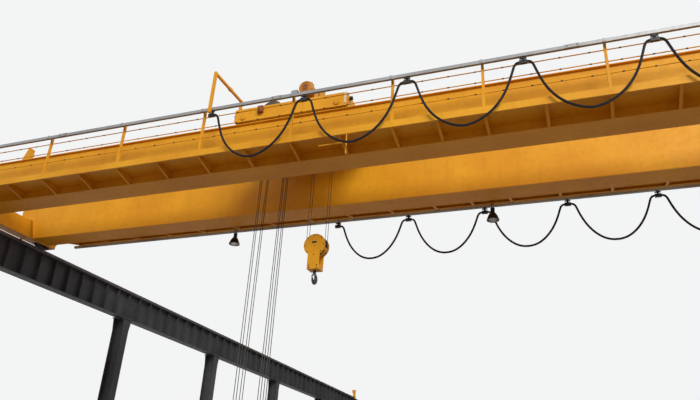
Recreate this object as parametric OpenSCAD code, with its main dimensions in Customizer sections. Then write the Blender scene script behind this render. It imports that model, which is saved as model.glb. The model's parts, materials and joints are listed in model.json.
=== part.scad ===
// Double girder overhead travelling crane on a free-standing runway, in millimetres.
// X runs along the girders, Y along the runway, Z is up, and the floor is at Z = 0.
// The crane stands in its second bay, with the trolley left of the middle of the span.

/* [Runway] */
// Distance between the centres of the two crane rails
span = 22500; // [20500:500:24500]
// Number of whole bays of the runway
bays = 6; // [5:1:6]
// Distance from column to column
bay_l = 6000; // [5800:100:6600]
// Height of the top of the crane rails above the floor
rail_top = 8000; // [7600:100:8800]
// Height of the crane rail section
rail_h = 130; // [110:5:150]
// Depth of the runway beams
beam_d = 900; // [800:20:1000]
// Width of the runway beam flanges
beam_b = 340; // [320:10:380]
// Thickness of the runway beam flanges
beam_tf = 20; // [14:1:28]
// Thickness of the runway beam web
beam_tw = 12; // [10:1:16]
// Distance between the web stiffeners
stiffener_pitch = 600; // [500:50:750]
// Depth of the column section, across the runway
column_d = 450; // [400:10:500]
// Width of the column section, along the runway
column_b = 300; // [260:10:340]
// Thickness of the column flanges
column_tf = 18; // [14:1:24]
// Width of a column's base plate, across the runway
base_w = 860; // [860:10:960]
// Length of a column's base plate, along the runway
base_l = 560; // [520:10:640]
// Thickness of the base and cap plates
base_t = 35; // [25:5:50]
// Diameter of the holes for the anchor bolts
anchor_hole_d = 34; // [28:1:40]

/* [Bridge] */
// Distance from the near end of the runway to the crane
bridge_in = 6200; // [5400:100:7000]
// Distance between the centres of the two girders
gauge = 2250; // [2100:10:2400]
// Height of a girder
girder_h = 1200; // [1100:20:1300]
// Height of a girder's end over the end carriage
girder_end_h = 600; // [560:10:620]
// Width of the girder flanges
girder_b = 600; // [560:10:640]
// Distance over the two webs of a girder
girder_box = 500; // [440:10:520]
// Thickness of the girder flanges
girder_tf = 16; // [12:1:24]
// Thickness of the girder webs
girder_tw = 8; // [6:1:12]
// Width of an end carriage
carriage_b = 360; // [340:10:380]
// Thickness of the end carriage plates
carriage_t = 12; // [10:1:16]
// Distance between the wheels of an end carriage
wheelbase = 3200; // [3000:50:3300]
// Diameter of the bridge wheels on the tread
bridge_wheel_d = 500; // [460:10:520]

/* [Walkway] */
// Width of a walkway, from the girder web to its outer edge
walkway_b = 605; // [560:5:650]
// Height of the walkway deck above the underside of the girders
deck_up = 220; // [200:5:240]
// Distance between railing posts
post_pitch = 2200; // [2100:10:2250]
// Length of the one short railing bay
short_bay = 1800; // [1600:10:2000]
// Height of a railing post above the deck
post_h = 1080; // [1000:10:1120]
// Thickness of a railing post
post_b = 50; // [40:5:60]
// Diameter of the thin rails
thin_rail_d = 22; // [18:1:30]

/* [Trolley] */
// Distance of the trolley's middle from the middle of the span
trolley_x = -1720; // [-2000:20:-1500]
// Length of the trolley frame along the girders
trolley_l = 2800; // [2800:20:3000]
// Height of the trolley's side beams
side_beam_h = 330; // [300:10:360]
// Width of the trolley's side beams
side_beam_b = 300; // [280:10:320]
// Distance from a wheel axle to the end of the trolley frame
axle_in = 230; // [230:5:300]
// Diameter of the trolley wheels on the tread
trolley_wheel_d = 350; // [340:5:360]
// Height of the trolley rail section
trolley_rail_h = 107; // [100:1:115]

/* [Hoists] */
// Diameter of the main drum and the main sheaves, to the middle of the rope
main_pitch_d = 560; // [520:10:570]
// Diameter of the auxiliary drum and sheaves, to the middle of the rope
aux_pitch_d = 450; // [420:10:460]
// Diameter of the main hoist rope
main_rope_d = 18; // [14:1:20]
// Diameter of the auxiliary hoist rope
aux_rope_d = 13; // [10:1:15]
// Distance of the main hook from the trolley's middle
main_off = -860; // [-880:10:-840]
// Distance of the auxiliary hook from the trolley's middle
aux_off = 380; // [370:10:400]
// Height of the main sheaves' axle above the floor
main_axle_z = 2620; // [2300:20:4000]
// Height of the auxiliary sheaves' axle above the floor
aux_axle_z = 6620; // [5600:20:6800]
// Distance between neighbouring main sheaves
main_sheave_pitch = 120; // [110:5:130]
// Distance between the two auxiliary sheaves
aux_sheave_pitch = 130; // [120:5:150]

/* [Festoon] */
// Distance from the near track's end to the clamp that holds its cables
near_anchor_in = 160; // [80:10:300]
// Distance from the far track's end to the clamp that holds its cables
far_anchor_in = 720; // [600:10:900]
// Diameter of the cable bundle
cable_d = 50; // [40:2:54]
// Width of a festoon track
track_b = 60; // [56:2:66]
// Height of a festoon track
track_h = 70; // [60:2:80]

/* [Hidden] */

// Running clearance between a turning or sliding piece and its seat
gap = 0.3;

// Runway
beam_top = rail_top - rail_h;
beam_bottom = beam_top - beam_d;
runway_l = bays * bay_l;
beam_l = runway_l + 300;
stop_face = runway_l / 2 - 250;
rail_l = 2 * stop_face - 20;
bridge_y = bridge_in - runway_l / 2;
haunch_h = 420;
anchor_in_x = 90;
anchor_in_y = 70;
stiffener_t = 12;
stiffener_edge = 15;
buffer_up = 350;

// Conductor bars, on the outer side of the left runway beam
bar_off = 280;
bar_w = 24;
bar_hh = 36;
bar_pitch = 150;
bar_top_z = beam_top - 170;
bar_post_t = 10;
collector_y = 1150;

// Bridge
girder_bottom = rail_top;
girder_top = girder_bottom + girder_h;
girder_half = span / 2 + 300;
taper_out = span / 2 - carriage_b / 2 - 50;
taper_in = taper_out - 220;
carriage_top = girder_top - girder_end_h;
carriage_z = rail_top + 100;
carriage_half = wheelbase / 2 + 350;
bridge_axle_z = rail_top + bridge_wheel_d / 2;
bridge_wheel_w = 140;
flange_up = 30;
axle_d = 90;
buffer_l = 150;
rib_t = 12;

// Walkways and railings
web_face = gauge / 2 + girder_box / 2;
deck_z = girder_bottom + deck_up;
edge_y = web_face + walkway_b;
deck_t = 6;
edge_h = 60;
toe_h = 90;
left_posts = 6;
walkway_in = 1100;
walkway_half = span / 2 - walkway_in;
post_in = 100;
last_post = walkway_half - post_in;
first_post = -last_post;
short_start = first_post + (left_posts - 1) * post_pitch;
right_posts = floor((last_post - short_start - short_bay) / post_pitch) + 1;
post_places = concat([for (i = [0:left_posts - 1]) first_post + i * post_pitch],
    [for (i = [0:right_posts - 1]) short_start + short_bay + i * post_pitch], [last_post]);
toe_t = 6;
post_y = edge_y - toe_t - post_b / 2;
thin_rail_up = [0.37, 0.61, 0.85];
lamp_places = [-4600, 2300, 9200];
lamp_in = 180;
strap_l = 300;
strap_off = 30;
lamp_neck_d = 96;
neck_l = 100;
neck_up = 55;
bell_r = 146;
bell_h = 225;

// Festoon tracks
track_y = edge_y + 50 + track_b / 2;
near_track_z = deck_z + post_h - 80;
far_track_z = deck_z - 100;
track_wall = 5;
slot_w = 16;
roller_d = 28;
neck_b = 6;
tow_out = 80;
near_tow = trolley_x - trolley_l / 2 - tow_out;
far_tow = trolley_x;
track_in = 850;
track_half_l = span / 2 - track_in;
near_anchor = track_half_l - near_anchor_in;
far_anchor = track_half_l - far_anchor_in;
near_pitch = (near_anchor - near_tow) / 6;
far_pitch = (far_anchor - far_tow) / 6;
saddle_half = 70;
saddle_b = cable_d + 10;
saddle_h = cable_d + 24;
saddle_drop = 120;
arm_b = 60;
arm_y = track_y + track_b / 2 + 40 + arm_b / 2;
arm_up = 1000;
arm_top = girder_top + arm_up;

// Trolley
trolley_base = trolley_l - 2 * axle_in;
trolley_rail_top = girder_top + trolley_rail_h;
trolley_axle_z = trolley_rail_top + trolley_wheel_d / 2;
frame_bottom = trolley_rail_top + 75;
frame_top = frame_bottom + side_beam_h;
trolley_axle_d = 70;
trolley_wheel_w = 110;
frame_t = 12;
deck_plate_t = 12;
stop_in = 1800;
trolley_stop = span / 2 - stop_in;
trolley_buffer_l = 80;
main_x = trolley_x + main_off;
aux_x = trolley_x + aux_off;
main_r = main_pitch_d / 2;
aux_r = aux_pitch_d / 2;
main_drum_z = frame_top + main_r + 60;
aux_drum_z = frame_top + aux_r + 45;
upper_axle_z = frame_top - main_r - 15;
drum_half = 560;
journal_d = 90;
trolley_gear_l = 190;
trolley_gear_w = 170;
trolley_gear_y = -520;
bearing_y = drum_half + 50;
bearing_w = 90;
gearbox_w = 210;
main_falls = [for (i = [-1.5:1:1.5]) i * main_sheave_pitch];
aux_falls = [-aux_sheave_pitch / 2, aux_sheave_pitch / 2];
balance_z = frame_top - 130;
balance_reach = 62;
hook_pin_d = 80;

// Route of half a near loop, from its clamp to its lowest point, as steps along the track and up.
// The other half mirrors it. The cable leaves its clamp level and bends down over the saddle.
near_half = [[0, 0], [20, 0], [52, -12], [80, -38], [102, -75], [122, -130], [150, -220], [190, -340],
    [245, -490], [320, -650], [415, -800], [530, -935], [670, -1050], [820, -1135], [950, -1180],
    [1065, -1195]];

// Route of half a far loop
far_half = [[0, 0], [20, 0], [52, -12], [78, -36], [98, -70], [116, -118], [142, -195], [180, -300],
    [232, -420], [298, -545], [380, -665], [478, -775], [590, -865], [700, -920], [800, -945],
    [880, -950]];

// Colours, as the photograph shows them
crane_yellow = "goldenrod";
steel_grey = "dimgray";
rail_grey = "slategray";
track_grey = "silver";
dark = "#2b2b2b";
rope_grey = "#4a4a4a";

// Helpers

// One ring of a sweep whose path lies in a plane with the given normal
function sweep_ring(p, t, normal, a, b, sides) = let (u = cross(normal, t))
    [for (i = [0:sides - 1]) p + u * a * cos(360 * i / sides) + normal * b * sin(360 * i / sides)];

function unit(v) = v / norm(v);

function path_direction(path, i) = let (n = len(path) - 1)
    i == 0 ? unit(path[1] - path[0]) : i == n ? unit(path[n] - path[n - 1]) :
    unit(unit(path[i] - path[i - 1]) + unit(path[i + 1] - path[i]));

// Sweeps an ellipse along a flat path; a is the half width in the path's plane, b across it
module sweep(path, normal, a, b, sides) {
    n = len(path);
    rings = [for (i = [0:n - 1])
        each sweep_ring(path[i], path_direction(path, i), normal, a[i], b[i], sides)];
    walls = [for (i = [0:n - 2], j = [0:sides - 1]) let (k = (j + 1) % sides)
        [i * sides + j, (i + 1) * sides + j, (i + 1) * sides + k, i * sides + k]];
    start = [for (j = [0:sides - 1]) j];
    end = [for (j = [sides - 1:-1:0]) (n - 1) * sides + j];
    polyhedron(points = rings, faces = concat(walls, [start, end]), convexity = 6);
}

// A cylinder along X or along Y, centred on its place
module bar_x(d, l) { rotate([0, 90, 0]) cylinder(d = d, h = l, center = true, $fn = 48); }

module bar_y(d, l) { rotate([90, 0, 0]) cylinder(d = d, h = l, center = true, $fn = 48); }

// A flat shape drawn in X and Z, made thick along Y
module plate_y(t) { rotate([90, 0, 0]) linear_extrude(t, center = true) children(); }

// A flat shape drawn in Y and Z, made thick along X
module plate_x(t) { rotate([90, 0, 90]) linear_extrude(t, center = true) children(); }

module h_section(d, b, tf, tw) {
    square([d, tw], center = true);
    for (s = [-1, 1]) translate([s * (d - tf) / 2, 0]) square([tf, b], center = true);
}

// Rail section standing on Y = 0
module rail_section(h, foot, head, web) {
    head_h = h * 0.3;
    polygon([[-foot / 2, 0], [foot / 2, 0], [foot / 2, h * 0.09], [web * 0.9, h * 0.22],
        [web / 2, h * 0.3], [web / 2, h - head_h - 6], [head / 2, h - head_h + 6], [head / 2, h - 6],
        [head / 2 - 6, h], [6 - head / 2, h], [-head / 2, h - 6], [-head / 2, h - head_h + 6],
        [-web / 2, h - head_h - 6], [-web / 2, h * 0.3], [-web * 0.9, h * 0.22], [-foot / 2, h * 0.09]]);
}

// Runway

module column(side, y) {
    shaft = beam_bottom - 2 * base_t;
    translate([side * span / 2, y, 0]) {
        difference() {
            translate([0, 0, base_t / 2]) cube([base_w, base_l, base_t], center = true);
            for (u = [-1, 1], v = [-1, 1])
                translate([u * (base_w / 2 - anchor_in_x), v * (base_l / 2 - anchor_in_y), -1])
                cylinder(d = anchor_hole_d, h = base_t + 2, $fn = 48);
        }
        translate([0, 0, base_t]) linear_extrude(shaft) h_section(column_d, column_b, column_tf, 11);
        translate([0, 0, base_t + shaft + base_t / 2])
            cube([column_d + 60, base_l - 120, base_t], center = true);
        for (s = [-1, 1]) {
            // Gussets that spread the foot and carry the cap
            translate([0, s * (column_b / 2 - 8), 0]) plate_y(14)
                polygon([[-base_w / 2 + 20, base_t], [base_w / 2 - 20, base_t], [column_d / 2, base_t + 260],
                    [-column_d / 2, base_t + 260]]);
            translate([s * (column_d / 2 - 9), 0, 0]) plate_x(14)
                polygon([[-column_b / 2, base_t + shaft - haunch_h],
                    [column_b / 2, base_t + shaft - haunch_h],
                    [base_l / 2 - 70, base_t + shaft], [-base_l / 2 + 70, base_t + shaft]]);
        }
    }
}

module columns(side) {
    color(steel_grey) for (i = [0:bays]) column(side, -runway_l / 2 + i * bay_l);
}

module left_columns() { columns(-1); }

module right_columns() { columns(1); }

module runway_beam(side) {
    count = floor(runway_l / stiffener_pitch / 2);
    color(rail_grey) translate([side * span / 2, 0, 0]) {
        translate([0, 0, beam_bottom + beam_d / 2]) {
            cube([beam_tw, beam_l, beam_d - 2], center = true);
            for (s = [-1, 1]) translate([0, 0, s * (beam_d - beam_tf) / 2])
                cube([beam_b, beam_l, beam_tf], center = true);
            for (i = [-count:count]) translate([0, i * stiffener_pitch, 0])
                cube([beam_b - 2 * stiffener_edge, stiffener_t, beam_d - beam_tf], center = true);
        }
    }
}

module left_runway_beam() { runway_beam(-1); }

module right_runway_beam() { runway_beam(1); }

module crane_rail(side) {
    color(rail_grey) translate([side * span / 2, 0, beam_top])
        rotate([90, 0, 0]) linear_extrude(rail_l, center = true) rail_section(rail_h, 120, 70, 24);
}

module left_crane_rail() { crane_rail(-1); }

module right_crane_rail() { crane_rail(1); }

// A braced post on the beam, with a plate that the bridge's buffer meets
module end_stop() {
    top = buffer_up + rail_h + 90;
    plate_x(120) polygon([[0, 0], [240, 0], [240, 60], [60, top], [0, top]]);
    translate([0, 15, buffer_up + rail_h]) cube([240, 30, 200], center = true);
}

module runway_end_stops() {
    color(crane_yellow) for (x = [-1, 1], y = [0, 1]) mirror([0, y, 0])
        translate([x * span / 2, stop_face, beam_top]) end_stop();
}

module conductor_bars() {
    x0 = -span / 2;
    post_x = beam_b / 2 - stiffener_edge;
    posts = floor((rail_l / 2 - 100) / (5 * stiffener_pitch));
    color("indianred") for (i = [0:2])
        translate([x0 - bar_off, 0, bar_top_z - i * bar_pitch]) cube([bar_w, rail_l, bar_hh], center = true);
    color(steel_grey) for (p = [-posts:posts]) translate([0, p * 5 * stiffener_pitch, 0]) {
        translate([x0 - post_x - bar_post_t / 2, 0, bar_top_z - bar_pitch])
            cube([bar_post_t, 60, 2 * bar_pitch + 120], center = true);
        for (i = [0:2]) translate([x0 - (post_x + bar_off) / 2, 0, bar_top_z - i * bar_pitch])
            bar_x(44, bar_off - post_x - 1);
    }
}

// Bridge

module girder_outline(lower) {
    polygon([[-girder_half, carriage_top + lower], [-taper_out, carriage_top + lower],
        [-taper_in, girder_bottom + lower], [taper_in, girder_bottom + lower],
        [taper_out, carriage_top + lower], [girder_half, carriage_top + lower],
        [girder_half, girder_top], [-girder_half, girder_top]]);
}

// Closed box of two webs and two flanges, with a raised underside over the end carriages
module girder(side) {
    color(crane_yellow) translate([0, bridge_y + side * gauge / 2, 0]) {
        for (s = [-1, 1]) translate([0, s * (girder_box - girder_tw) / 2, 0])
            plate_y(girder_tw) girder_outline(1);
        translate([0, 0, girder_top - girder_tf / 2])
            cube([2 * girder_half, girder_b, girder_tf], center = true);
        plate_y(girder_b) difference() {
            girder_outline(0);
            translate([0, girder_tf]) girder_outline(0);
            translate([-girder_half - 1, girder_top - 100]) square([2 * girder_half + 2, 200]);
        }
        for (s = [-1, 1]) {
            translate([s * (girder_half - 5), 0, girder_top - girder_end_h / 2])
                cube([10, girder_box - 1, girder_end_h - 1], center = true);
            // Stop for the trolley's buffers
            translate([s * (trolley_stop + 100), 0, girder_top]) mirror([s < 0 ? 1 : 0, 0, 0])
                plate_y(160) polygon([[-100, 0], [140, 0], [140, 40], [-40, 500], [-100, 500]]);
        }
    }
}

module near_girder() { girder(-1); }

module far_girder() { girder(1); }

module trolley_rails() {
    color(rail_grey) for (s = [-1, 1]) translate([0, bridge_y + s * gauge / 2, girder_top])
        plate_x(2 * trolley_stop - 40) rail_section(trolley_rail_h, 92, 51, 20);
}

// Hollow box beam with a boss on each side of each wheel, and a buffer at each end
module end_carriage(side) {
    h = carriage_top - carriage_z;
    color(crane_yellow) translate([side * span / 2, bridge_y, 0]) {
        difference() {
            union() {
                difference() {
                    translate([0, 0, carriage_z + h / 2])
                        cube([carriage_b, 2 * carriage_half, h], center = true);
                    translate([0, 0, carriage_z + h / 2])
                        cube([carriage_b - 2 * carriage_t, 2 * carriage_half - 2 * carriage_t,
                            h - 2 * carriage_t], center = true);
                }
                for (y = [-1, 1]) {
                    translate([0, y * (wheelbase / 2 - 420), carriage_z + h / 2])
                        cube([carriage_b - 2, rib_t, h - 2], center = true);
                    translate([0, y * wheelbase / 2, bridge_axle_z]) bar_x(200, carriage_b + 40);
                }
            }
            for (y = [-1, 1]) translate([0, y * wheelbase / 2, 0]) {
                translate([0, 0, carriage_z])
                    cube([bridge_wheel_w + 40, bridge_wheel_d + 2 * flange_up + 40, 60], center = true);
                translate([0, 0, bridge_axle_z])
                    bar_x(bridge_wheel_d + 2 * flange_up + 40, bridge_wheel_w + 12);
                translate([0, 0, bridge_axle_z]) bar_x(axle_d + 2 * gap, carriage_b + 20);
            }
        }
        for (y = [-1, 1]) {
            translate([0, y * (carriage_half + 15), rail_top + buffer_up])
                cube([200, 30, 200], center = true);
            translate([0, y * (carriage_half + 30 + (buffer_l - 30) / 2), rail_top + buffer_up])
                bar_y(130, buffer_l - 30 + 1);
        }
    }
}

module left_end_carriage() { end_carriage(-1); }

module right_end_carriage() { end_carriage(1); }

// A wheel that turns about X: grooved tread between two flanges, thin disc, hub and its axle
module flanged_wheel(tread_d, width, flange, shaft_d, shaft_l) {
    r = tread_d / 2 - gap;
    half = width / 2;
    lip = width * 0.14;
    rotate([0, 90, 0]) {
        rotate_extrude($fn = 64) polygon([[shaft_d / 2 - 2, -half * 0.9], [shaft_d / 2 + 30, -half * 0.9],
            [shaft_d / 2 + 34, -half * 0.4], [r - 48, -half * 0.34], [r - 40, -half],
            [r + flange - 8, -half], [r + flange, -half + 8], [r + flange, -half + lip - 4],
            [r, -half + lip + 5],
            [r, half - lip - 5], [r + flange, half - lip + 4], [r + flange, half - 8], [r + flange - 8, half],
            [r - 40, half], [r - 48, half * 0.34], [shaft_d / 2 + 34, half * 0.4],
            [shaft_d / 2 + 30, half * 0.9], [shaft_d / 2 - 2, half * 0.9]]);
        cylinder(d = shaft_d, h = shaft_l, center = true, $fn = 48);
    }
}

module bridge_wheel(side, end) {
    color(dark) translate([side * span / 2, bridge_y + end * wheelbase / 2, bridge_axle_z])
        flanged_wheel(bridge_wheel_d, bridge_wheel_w, flange_up, axle_d, carriage_b + 16);
}

module left_near_wheel() { bridge_wheel(-1, -1); }

module right_near_wheel() { bridge_wheel(1, -1); }

module left_far_wheel() { bridge_wheel(-1, 1); }

module right_far_wheel() { bridge_wheel(1, 1); }

// Finned motor along X, starting at the origin and running towards +X
module motor(d, l) {
    translate([l / 2, 0, 0]) bar_x(d * 0.84, l);
    fins = floor((l * 0.62) / (d * 0.085));
    for (i = [0:fins - 1]) translate([l * 0.14 + i * d * 0.085, 0, 0]) bar_x(d, d * 0.04);
    translate([l * 0.05, 0, 0]) bar_x(d, l * 0.1);
    translate([l - l * 0.08, 0, 0]) bar_x(d * 0.97, l * 0.16);
    translate([l * 0.45, 0, d * 0.5]) cube([l * 0.28, d * 0.42, d * 0.22], center = true);
}

// Gear unit on the inner side of the driven wheel, with its motor lying along the girder
module travel_drive(side) {
    box_l = 240;
    color(crane_yellow) translate([side * span / 2, bridge_y - wheelbase / 2, bridge_axle_z])
        mirror([side > 0 ? 1 : 0, 0, 0])
        translate([carriage_b / 2 + 20, 0, 0]) {
            translate([box_l / 2, 0, 0]) plate_x(box_l) {
                circle(d = 230, $fn = 48);
                translate([0, 65]) square([190, 190], center = true);
            }
            translate([box_l, 0, 60]) motor(190, 340);
        }
}

module left_travel_drive() { travel_drive(-1); }

module right_travel_drive() { travel_drive(1); }

// Walkway deck on tapered brackets, with an edge angle and a toe board
module walkway(side) {
    edges = [for (x = post_places) x];
    middles = [for (i = [0:len(post_places) - 2]) (post_places[i] + post_places[i + 1]) / 2];
    color(crane_yellow) translate([0, bridge_y, 0]) mirror([0, side < 0 ? 1 : 0, 0]) {
        translate([-walkway_half, web_face, deck_z - deck_t]) cube([2 * walkway_half, walkway_b - 1, deck_t]);
        translate([-walkway_half, edge_y - toe_t, deck_z - edge_h])
            cube([2 * walkway_half, toe_t, edge_h + toe_h]);
        translate([-walkway_half, edge_y - 60, deck_z - edge_h]) cube([2 * walkway_half, 58, 6]);
        for (x = concat(edges, middles)) translate([x, 0, 0]) plate_x(10)
            polygon([[web_face, girder_bottom + girder_tf],
                [girder_b / 2 + gauge / 2, girder_bottom + girder_tf],
                [edge_y - 3, deck_z - edge_h], [edge_y - 3, deck_z - 3], [web_face, deck_z - 3]]);
    }
}

module near_walkway() { walkway(-1); }

module far_walkway() { walkway(1); }

// Posts on the deck's edge with three thin rails through them
module railing(side) {
    color(crane_yellow) translate([0, bridge_y, 0]) mirror([0, side < 0 ? 1 : 0, 0]) {
        for (x = post_places) translate([x, post_y, deck_z + post_h / 2])
            cube([post_b, post_b, post_h], center = true);
        for (u = thin_rail_up) translate([0, post_y, deck_z + u * post_h])
            bar_x(thin_rail_d, 2 * last_post);
        if (side > 0) translate([0, post_y, deck_z + post_h]) bar_x(thin_rail_d * 1.6, 2 * last_post);
    }
}

module near_railing() { railing(-1); }

module far_railing() { railing(1); }

module track_section() {
    difference() {
        square([track_b, track_h], center = true);
        square([track_b - 2 * track_wall, track_h - 2 * track_wall], center = true);
        translate([0, -track_h / 2]) square([slot_w, 3 * track_wall], center = true);
    }
}

// Clamp that holds the fixed end of the cables under the track
module anchor() {
    translate([0, 0, -saddle_drop / 2 + 1]) cube([2 * saddle_half - 60, 30, saddle_drop], center = true);
    translate([0, 0, -saddle_drop]) cube([2 * saddle_half, saddle_b, saddle_h], center = true);
}

module near_festoon_track() {
    color(track_grey) translate([0, bridge_y - track_y, near_track_z]) {
        translate([0, 0, track_h / 2]) plate_x(2 * track_half_l) track_section();
        translate([near_anchor, 0, 0]) anchor();
        for (x = post_places) translate([x - 20, track_b / 2 - 2, track_h / 2 - 20])
            cube([40, track_y - track_b / 2 + 2 - post_y - post_b / 2, 40]);
    }
}

module far_festoon_track() {
    color(track_grey) translate([0, bridge_y + track_y, far_track_z]) {
        translate([0, 0, track_h / 2]) plate_x(2 * track_half_l) track_section();
        translate([far_anchor, 0, 0]) anchor();
        for (x = post_places) translate([x - 20, edge_y - track_y, track_h / 2 + 5])
            cube([40, track_y - edge_y - track_b / 2 + 2, 30]);
    }
}

// Arms that carry the current collectors down to the conductor bars
module collector_bracket() {
    foot = [-span / 2 - carriage_b / 2, bridge_y + collector_y, carriage_z + 150];
    post_out = 395;
    color(steel_grey) {
        translate([-span / 2 - (post_out + 15 + carriage_b / 2) / 2, foot[1], foot[2]])
            cube([post_out + 15 - carriage_b / 2, 120, 40], center = true);
        translate([-span / 2 - post_out, foot[1], (foot[2] + bar_top_z - 2 * bar_pitch - 60) / 2])
            cube([30, 60, foot[2] - bar_top_z + 2 * bar_pitch + 60], center = true);
    }
    color(dark) for (i = [0:2]) translate([-span / 2, foot[1], bar_top_z - i * bar_pitch]) {
        translate([-(post_out + bar_off + bar_w / 2) / 2, 0, 0])
            cube([post_out - bar_off - bar_w / 2 - 1, 30, 24], center = true);
        translate([-(bar_off + bar_w / 2 + 12), 0, 0]) cube([22, 170, 30], center = true);
    }
}

// Bell lamp on twin straps under the far walkway; a glass closes its mouth
module lamp() {
    neck_low = -strap_l + neck_up - neck_l;
    for (s = [-1, 1]) translate([s * strap_off, 0, -strap_l / 2])
        cube([6, 26, strap_l], center = true);
    translate([0, 0, -strap_l / 2]) cube([2 * strap_off + 6, 20, 14], center = true);
    translate([0, 0, neck_low]) cylinder(d = lamp_neck_d, h = neck_l, $fn = 48);
    translate([0, 0, neck_low + 10 - bell_h]) rotate_extrude($fn = 64)
        polygon([[0, 0], [bell_r - 8, 0], [bell_r, 12], [bell_r - 4, 30], [bell_r - 26, 95],
            [bell_r - 62, 160], [bell_r - 96, bell_h - 20], [bell_r - 102, bell_h], [0, bell_h]]);
}

module bridge_lamps() {
    color("gainsboro") for (x = lamp_places) translate([x, bridge_y + edge_y - lamp_in, deck_z - deck_t])
        lamp();
}

// Trolley

// Box side beam over a rail, open below where the two wheels stand in it
module side_beam(side) {
    translate([trolley_x, bridge_y + side * gauge / 2, 0]) {
        difference() {
            union() {
                difference() {
                    translate([0, 0, frame_bottom + side_beam_h / 2])
                        cube([trolley_l, side_beam_b, side_beam_h], center = true);
                    translate([0, 0, frame_bottom + side_beam_h / 2])
                        cube([trolley_l - 2 * frame_t, side_beam_b - 2 * frame_t, side_beam_h - 2 * frame_t],
                            center = true);
                }
                for (x = [-1, 1]) translate([x * trolley_base / 2, 0, trolley_axle_z])
                    bar_y(160, side_beam_b + 24);
            }
            for (x = [-1, 1]) translate([x * trolley_base / 2, 0, 0]) {
                translate([0, 0, trolley_axle_z]) bar_y(trolley_wheel_d + 70, trolley_wheel_w + 12);
                translate([0, 0, frame_bottom - 50])
                    cube([trolley_wheel_d + 70, trolley_wheel_w + 30, 160], center = true);
                translate([0, 0, trolley_axle_z]) bar_y(trolley_axle_d + 2 * gap, side_beam_b + 60);
            }
        }
        for (x = [-1, 1]) translate([x * (trolley_l / 2 + trolley_buffer_l / 2 - 1), 0, frame_top - 90])
            bar_x(90, trolley_buffer_l + 2);
    }
}

// Pedestal with the bearing of a drum's near end or far end
module pedestal(x, y, z) {
    translate([x, bridge_y + y, 0]) difference() {
        union() {
            translate([0, 0, z]) bar_y(190, bearing_w);
            plate_y(bearing_w - 10) polygon([[-170, frame_top - 1], [170, frame_top - 1], [95, z], [-95, z]]);
        }
        translate([0, 0, z]) bar_y(journal_d + 2 * gap, bearing_w + 2);
    }
}

module trolley_frame() {
    inner = gauge - side_beam_b;
    color(crane_yellow) difference() {
        union() {
            for (s = [-1, 1]) side_beam(s);
            translate([trolley_x, bridge_y, frame_top - deck_plate_t / 2])
                cube([trolley_l, inner + 2, deck_plate_t], center = true);
            // Cross beams under the deck, clear of the ropes
            for (x = [-trolley_l / 2 + 8, main_off + main_r + balance_reach + 8,
                    aux_off + aux_r + balance_reach + 8, trolley_l / 2 - 8])
                translate([trolley_x + x, bridge_y, frame_top - 110])
                    cube([16, inner + 2, 200], center = true);
            pedestal(main_x, -bearing_y, main_drum_z);
            pedestal(aux_x, bearing_y, aux_drum_z);
        }
        // Openings in the deck for the ropes and upper sheaves
        translate([main_x, bridge_y, frame_top])
            cube([main_pitch_d + 80, 3 * main_sheave_pitch + 100, 60], center = true);
        translate([aux_x, bridge_y, frame_top])
            cube([aux_pitch_d + 80, aux_sheave_pitch + 100, 60], center = true);
        // Opening that the travel gear unit hangs in
        translate([trolley_x + trolley_base / 2, bridge_y + trolley_gear_y, frame_top])
            cube([trolley_gear_l + 2 * gap, trolley_gear_w + 2 * gap, 60], center = true);
    }
}

module trolley_wheel() {
    rotate([0, 0, 90]) flanged_wheel(trolley_wheel_d, trolley_wheel_w, 25, trolley_axle_d, side_beam_b + 20);
}

module idle_wheels() {
    color(dark) for (s = [-1, 1])
        translate([trolley_x - trolley_base / 2, bridge_y + s * gauge / 2, trolley_axle_z])
        trolley_wheel();
}

// The two driven wheels share one shaft across the trolley
module drive_wheels() {
    color(dark) translate([trolley_x + trolley_base / 2, bridge_y, trolley_axle_z]) {
        for (s = [-1, 1]) translate([0, s * gauge / 2, 0]) trolley_wheel();
        bar_y(trolley_axle_d, gauge - 100);
    }
}

// Hollow grooved drum about Y with a flange at each end and its shaft. A whole even number of
// grooves fits between neighbouring falls, so each fall leaves the drum out of a groove.
module drum(pitch_r, rope, fall_pitch) {
    groove = fall_pitch / (2 * floor(fall_pitch / (2.2 * rope)));
    half_turns = floor((drum_half - 60) / groove);
    core = pitch_r - rope / 2;
    crest = core + rope * 0.3;
    rim = core + 34;
    rotate([90, 0, 0]) {
        difference() {
            rotate_extrude($fn = 96) polygon(concat(
                [[0, -drum_half], [rim, -drum_half], [rim, -drum_half + 20], [core, -drum_half + 20]],
                [for (i = [-half_turns:half_turns])
                    each [[crest, (i - 0.5) * groove], [core, (i - 0.18) * groove],
                        [core, (i + 0.18) * groove]]],
                [[crest, (half_turns + 0.5) * groove], [core, drum_half - 20], [rim, drum_half - 20],
                    [rim, drum_half], [0, drum_half]]));
            cylinder(r = core - 25, h = 2 * drum_half - 60, center = true, $fn = 96);
        }
        cylinder(d = journal_d, h = 2 * (bearing_y + bearing_w / 2), center = true, $fn = 48);
    }
}

module main_drum() {
    color(steel_grey) translate([main_x, bridge_y, main_drum_z]) drum(main_r, main_rope_d, main_sheave_pitch);
}

module aux_drum() {
    color(steel_grey) translate([aux_x, bridge_y, aux_drum_z]) drum(aux_r, aux_rope_d, aux_sheave_pitch);
}

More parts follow.
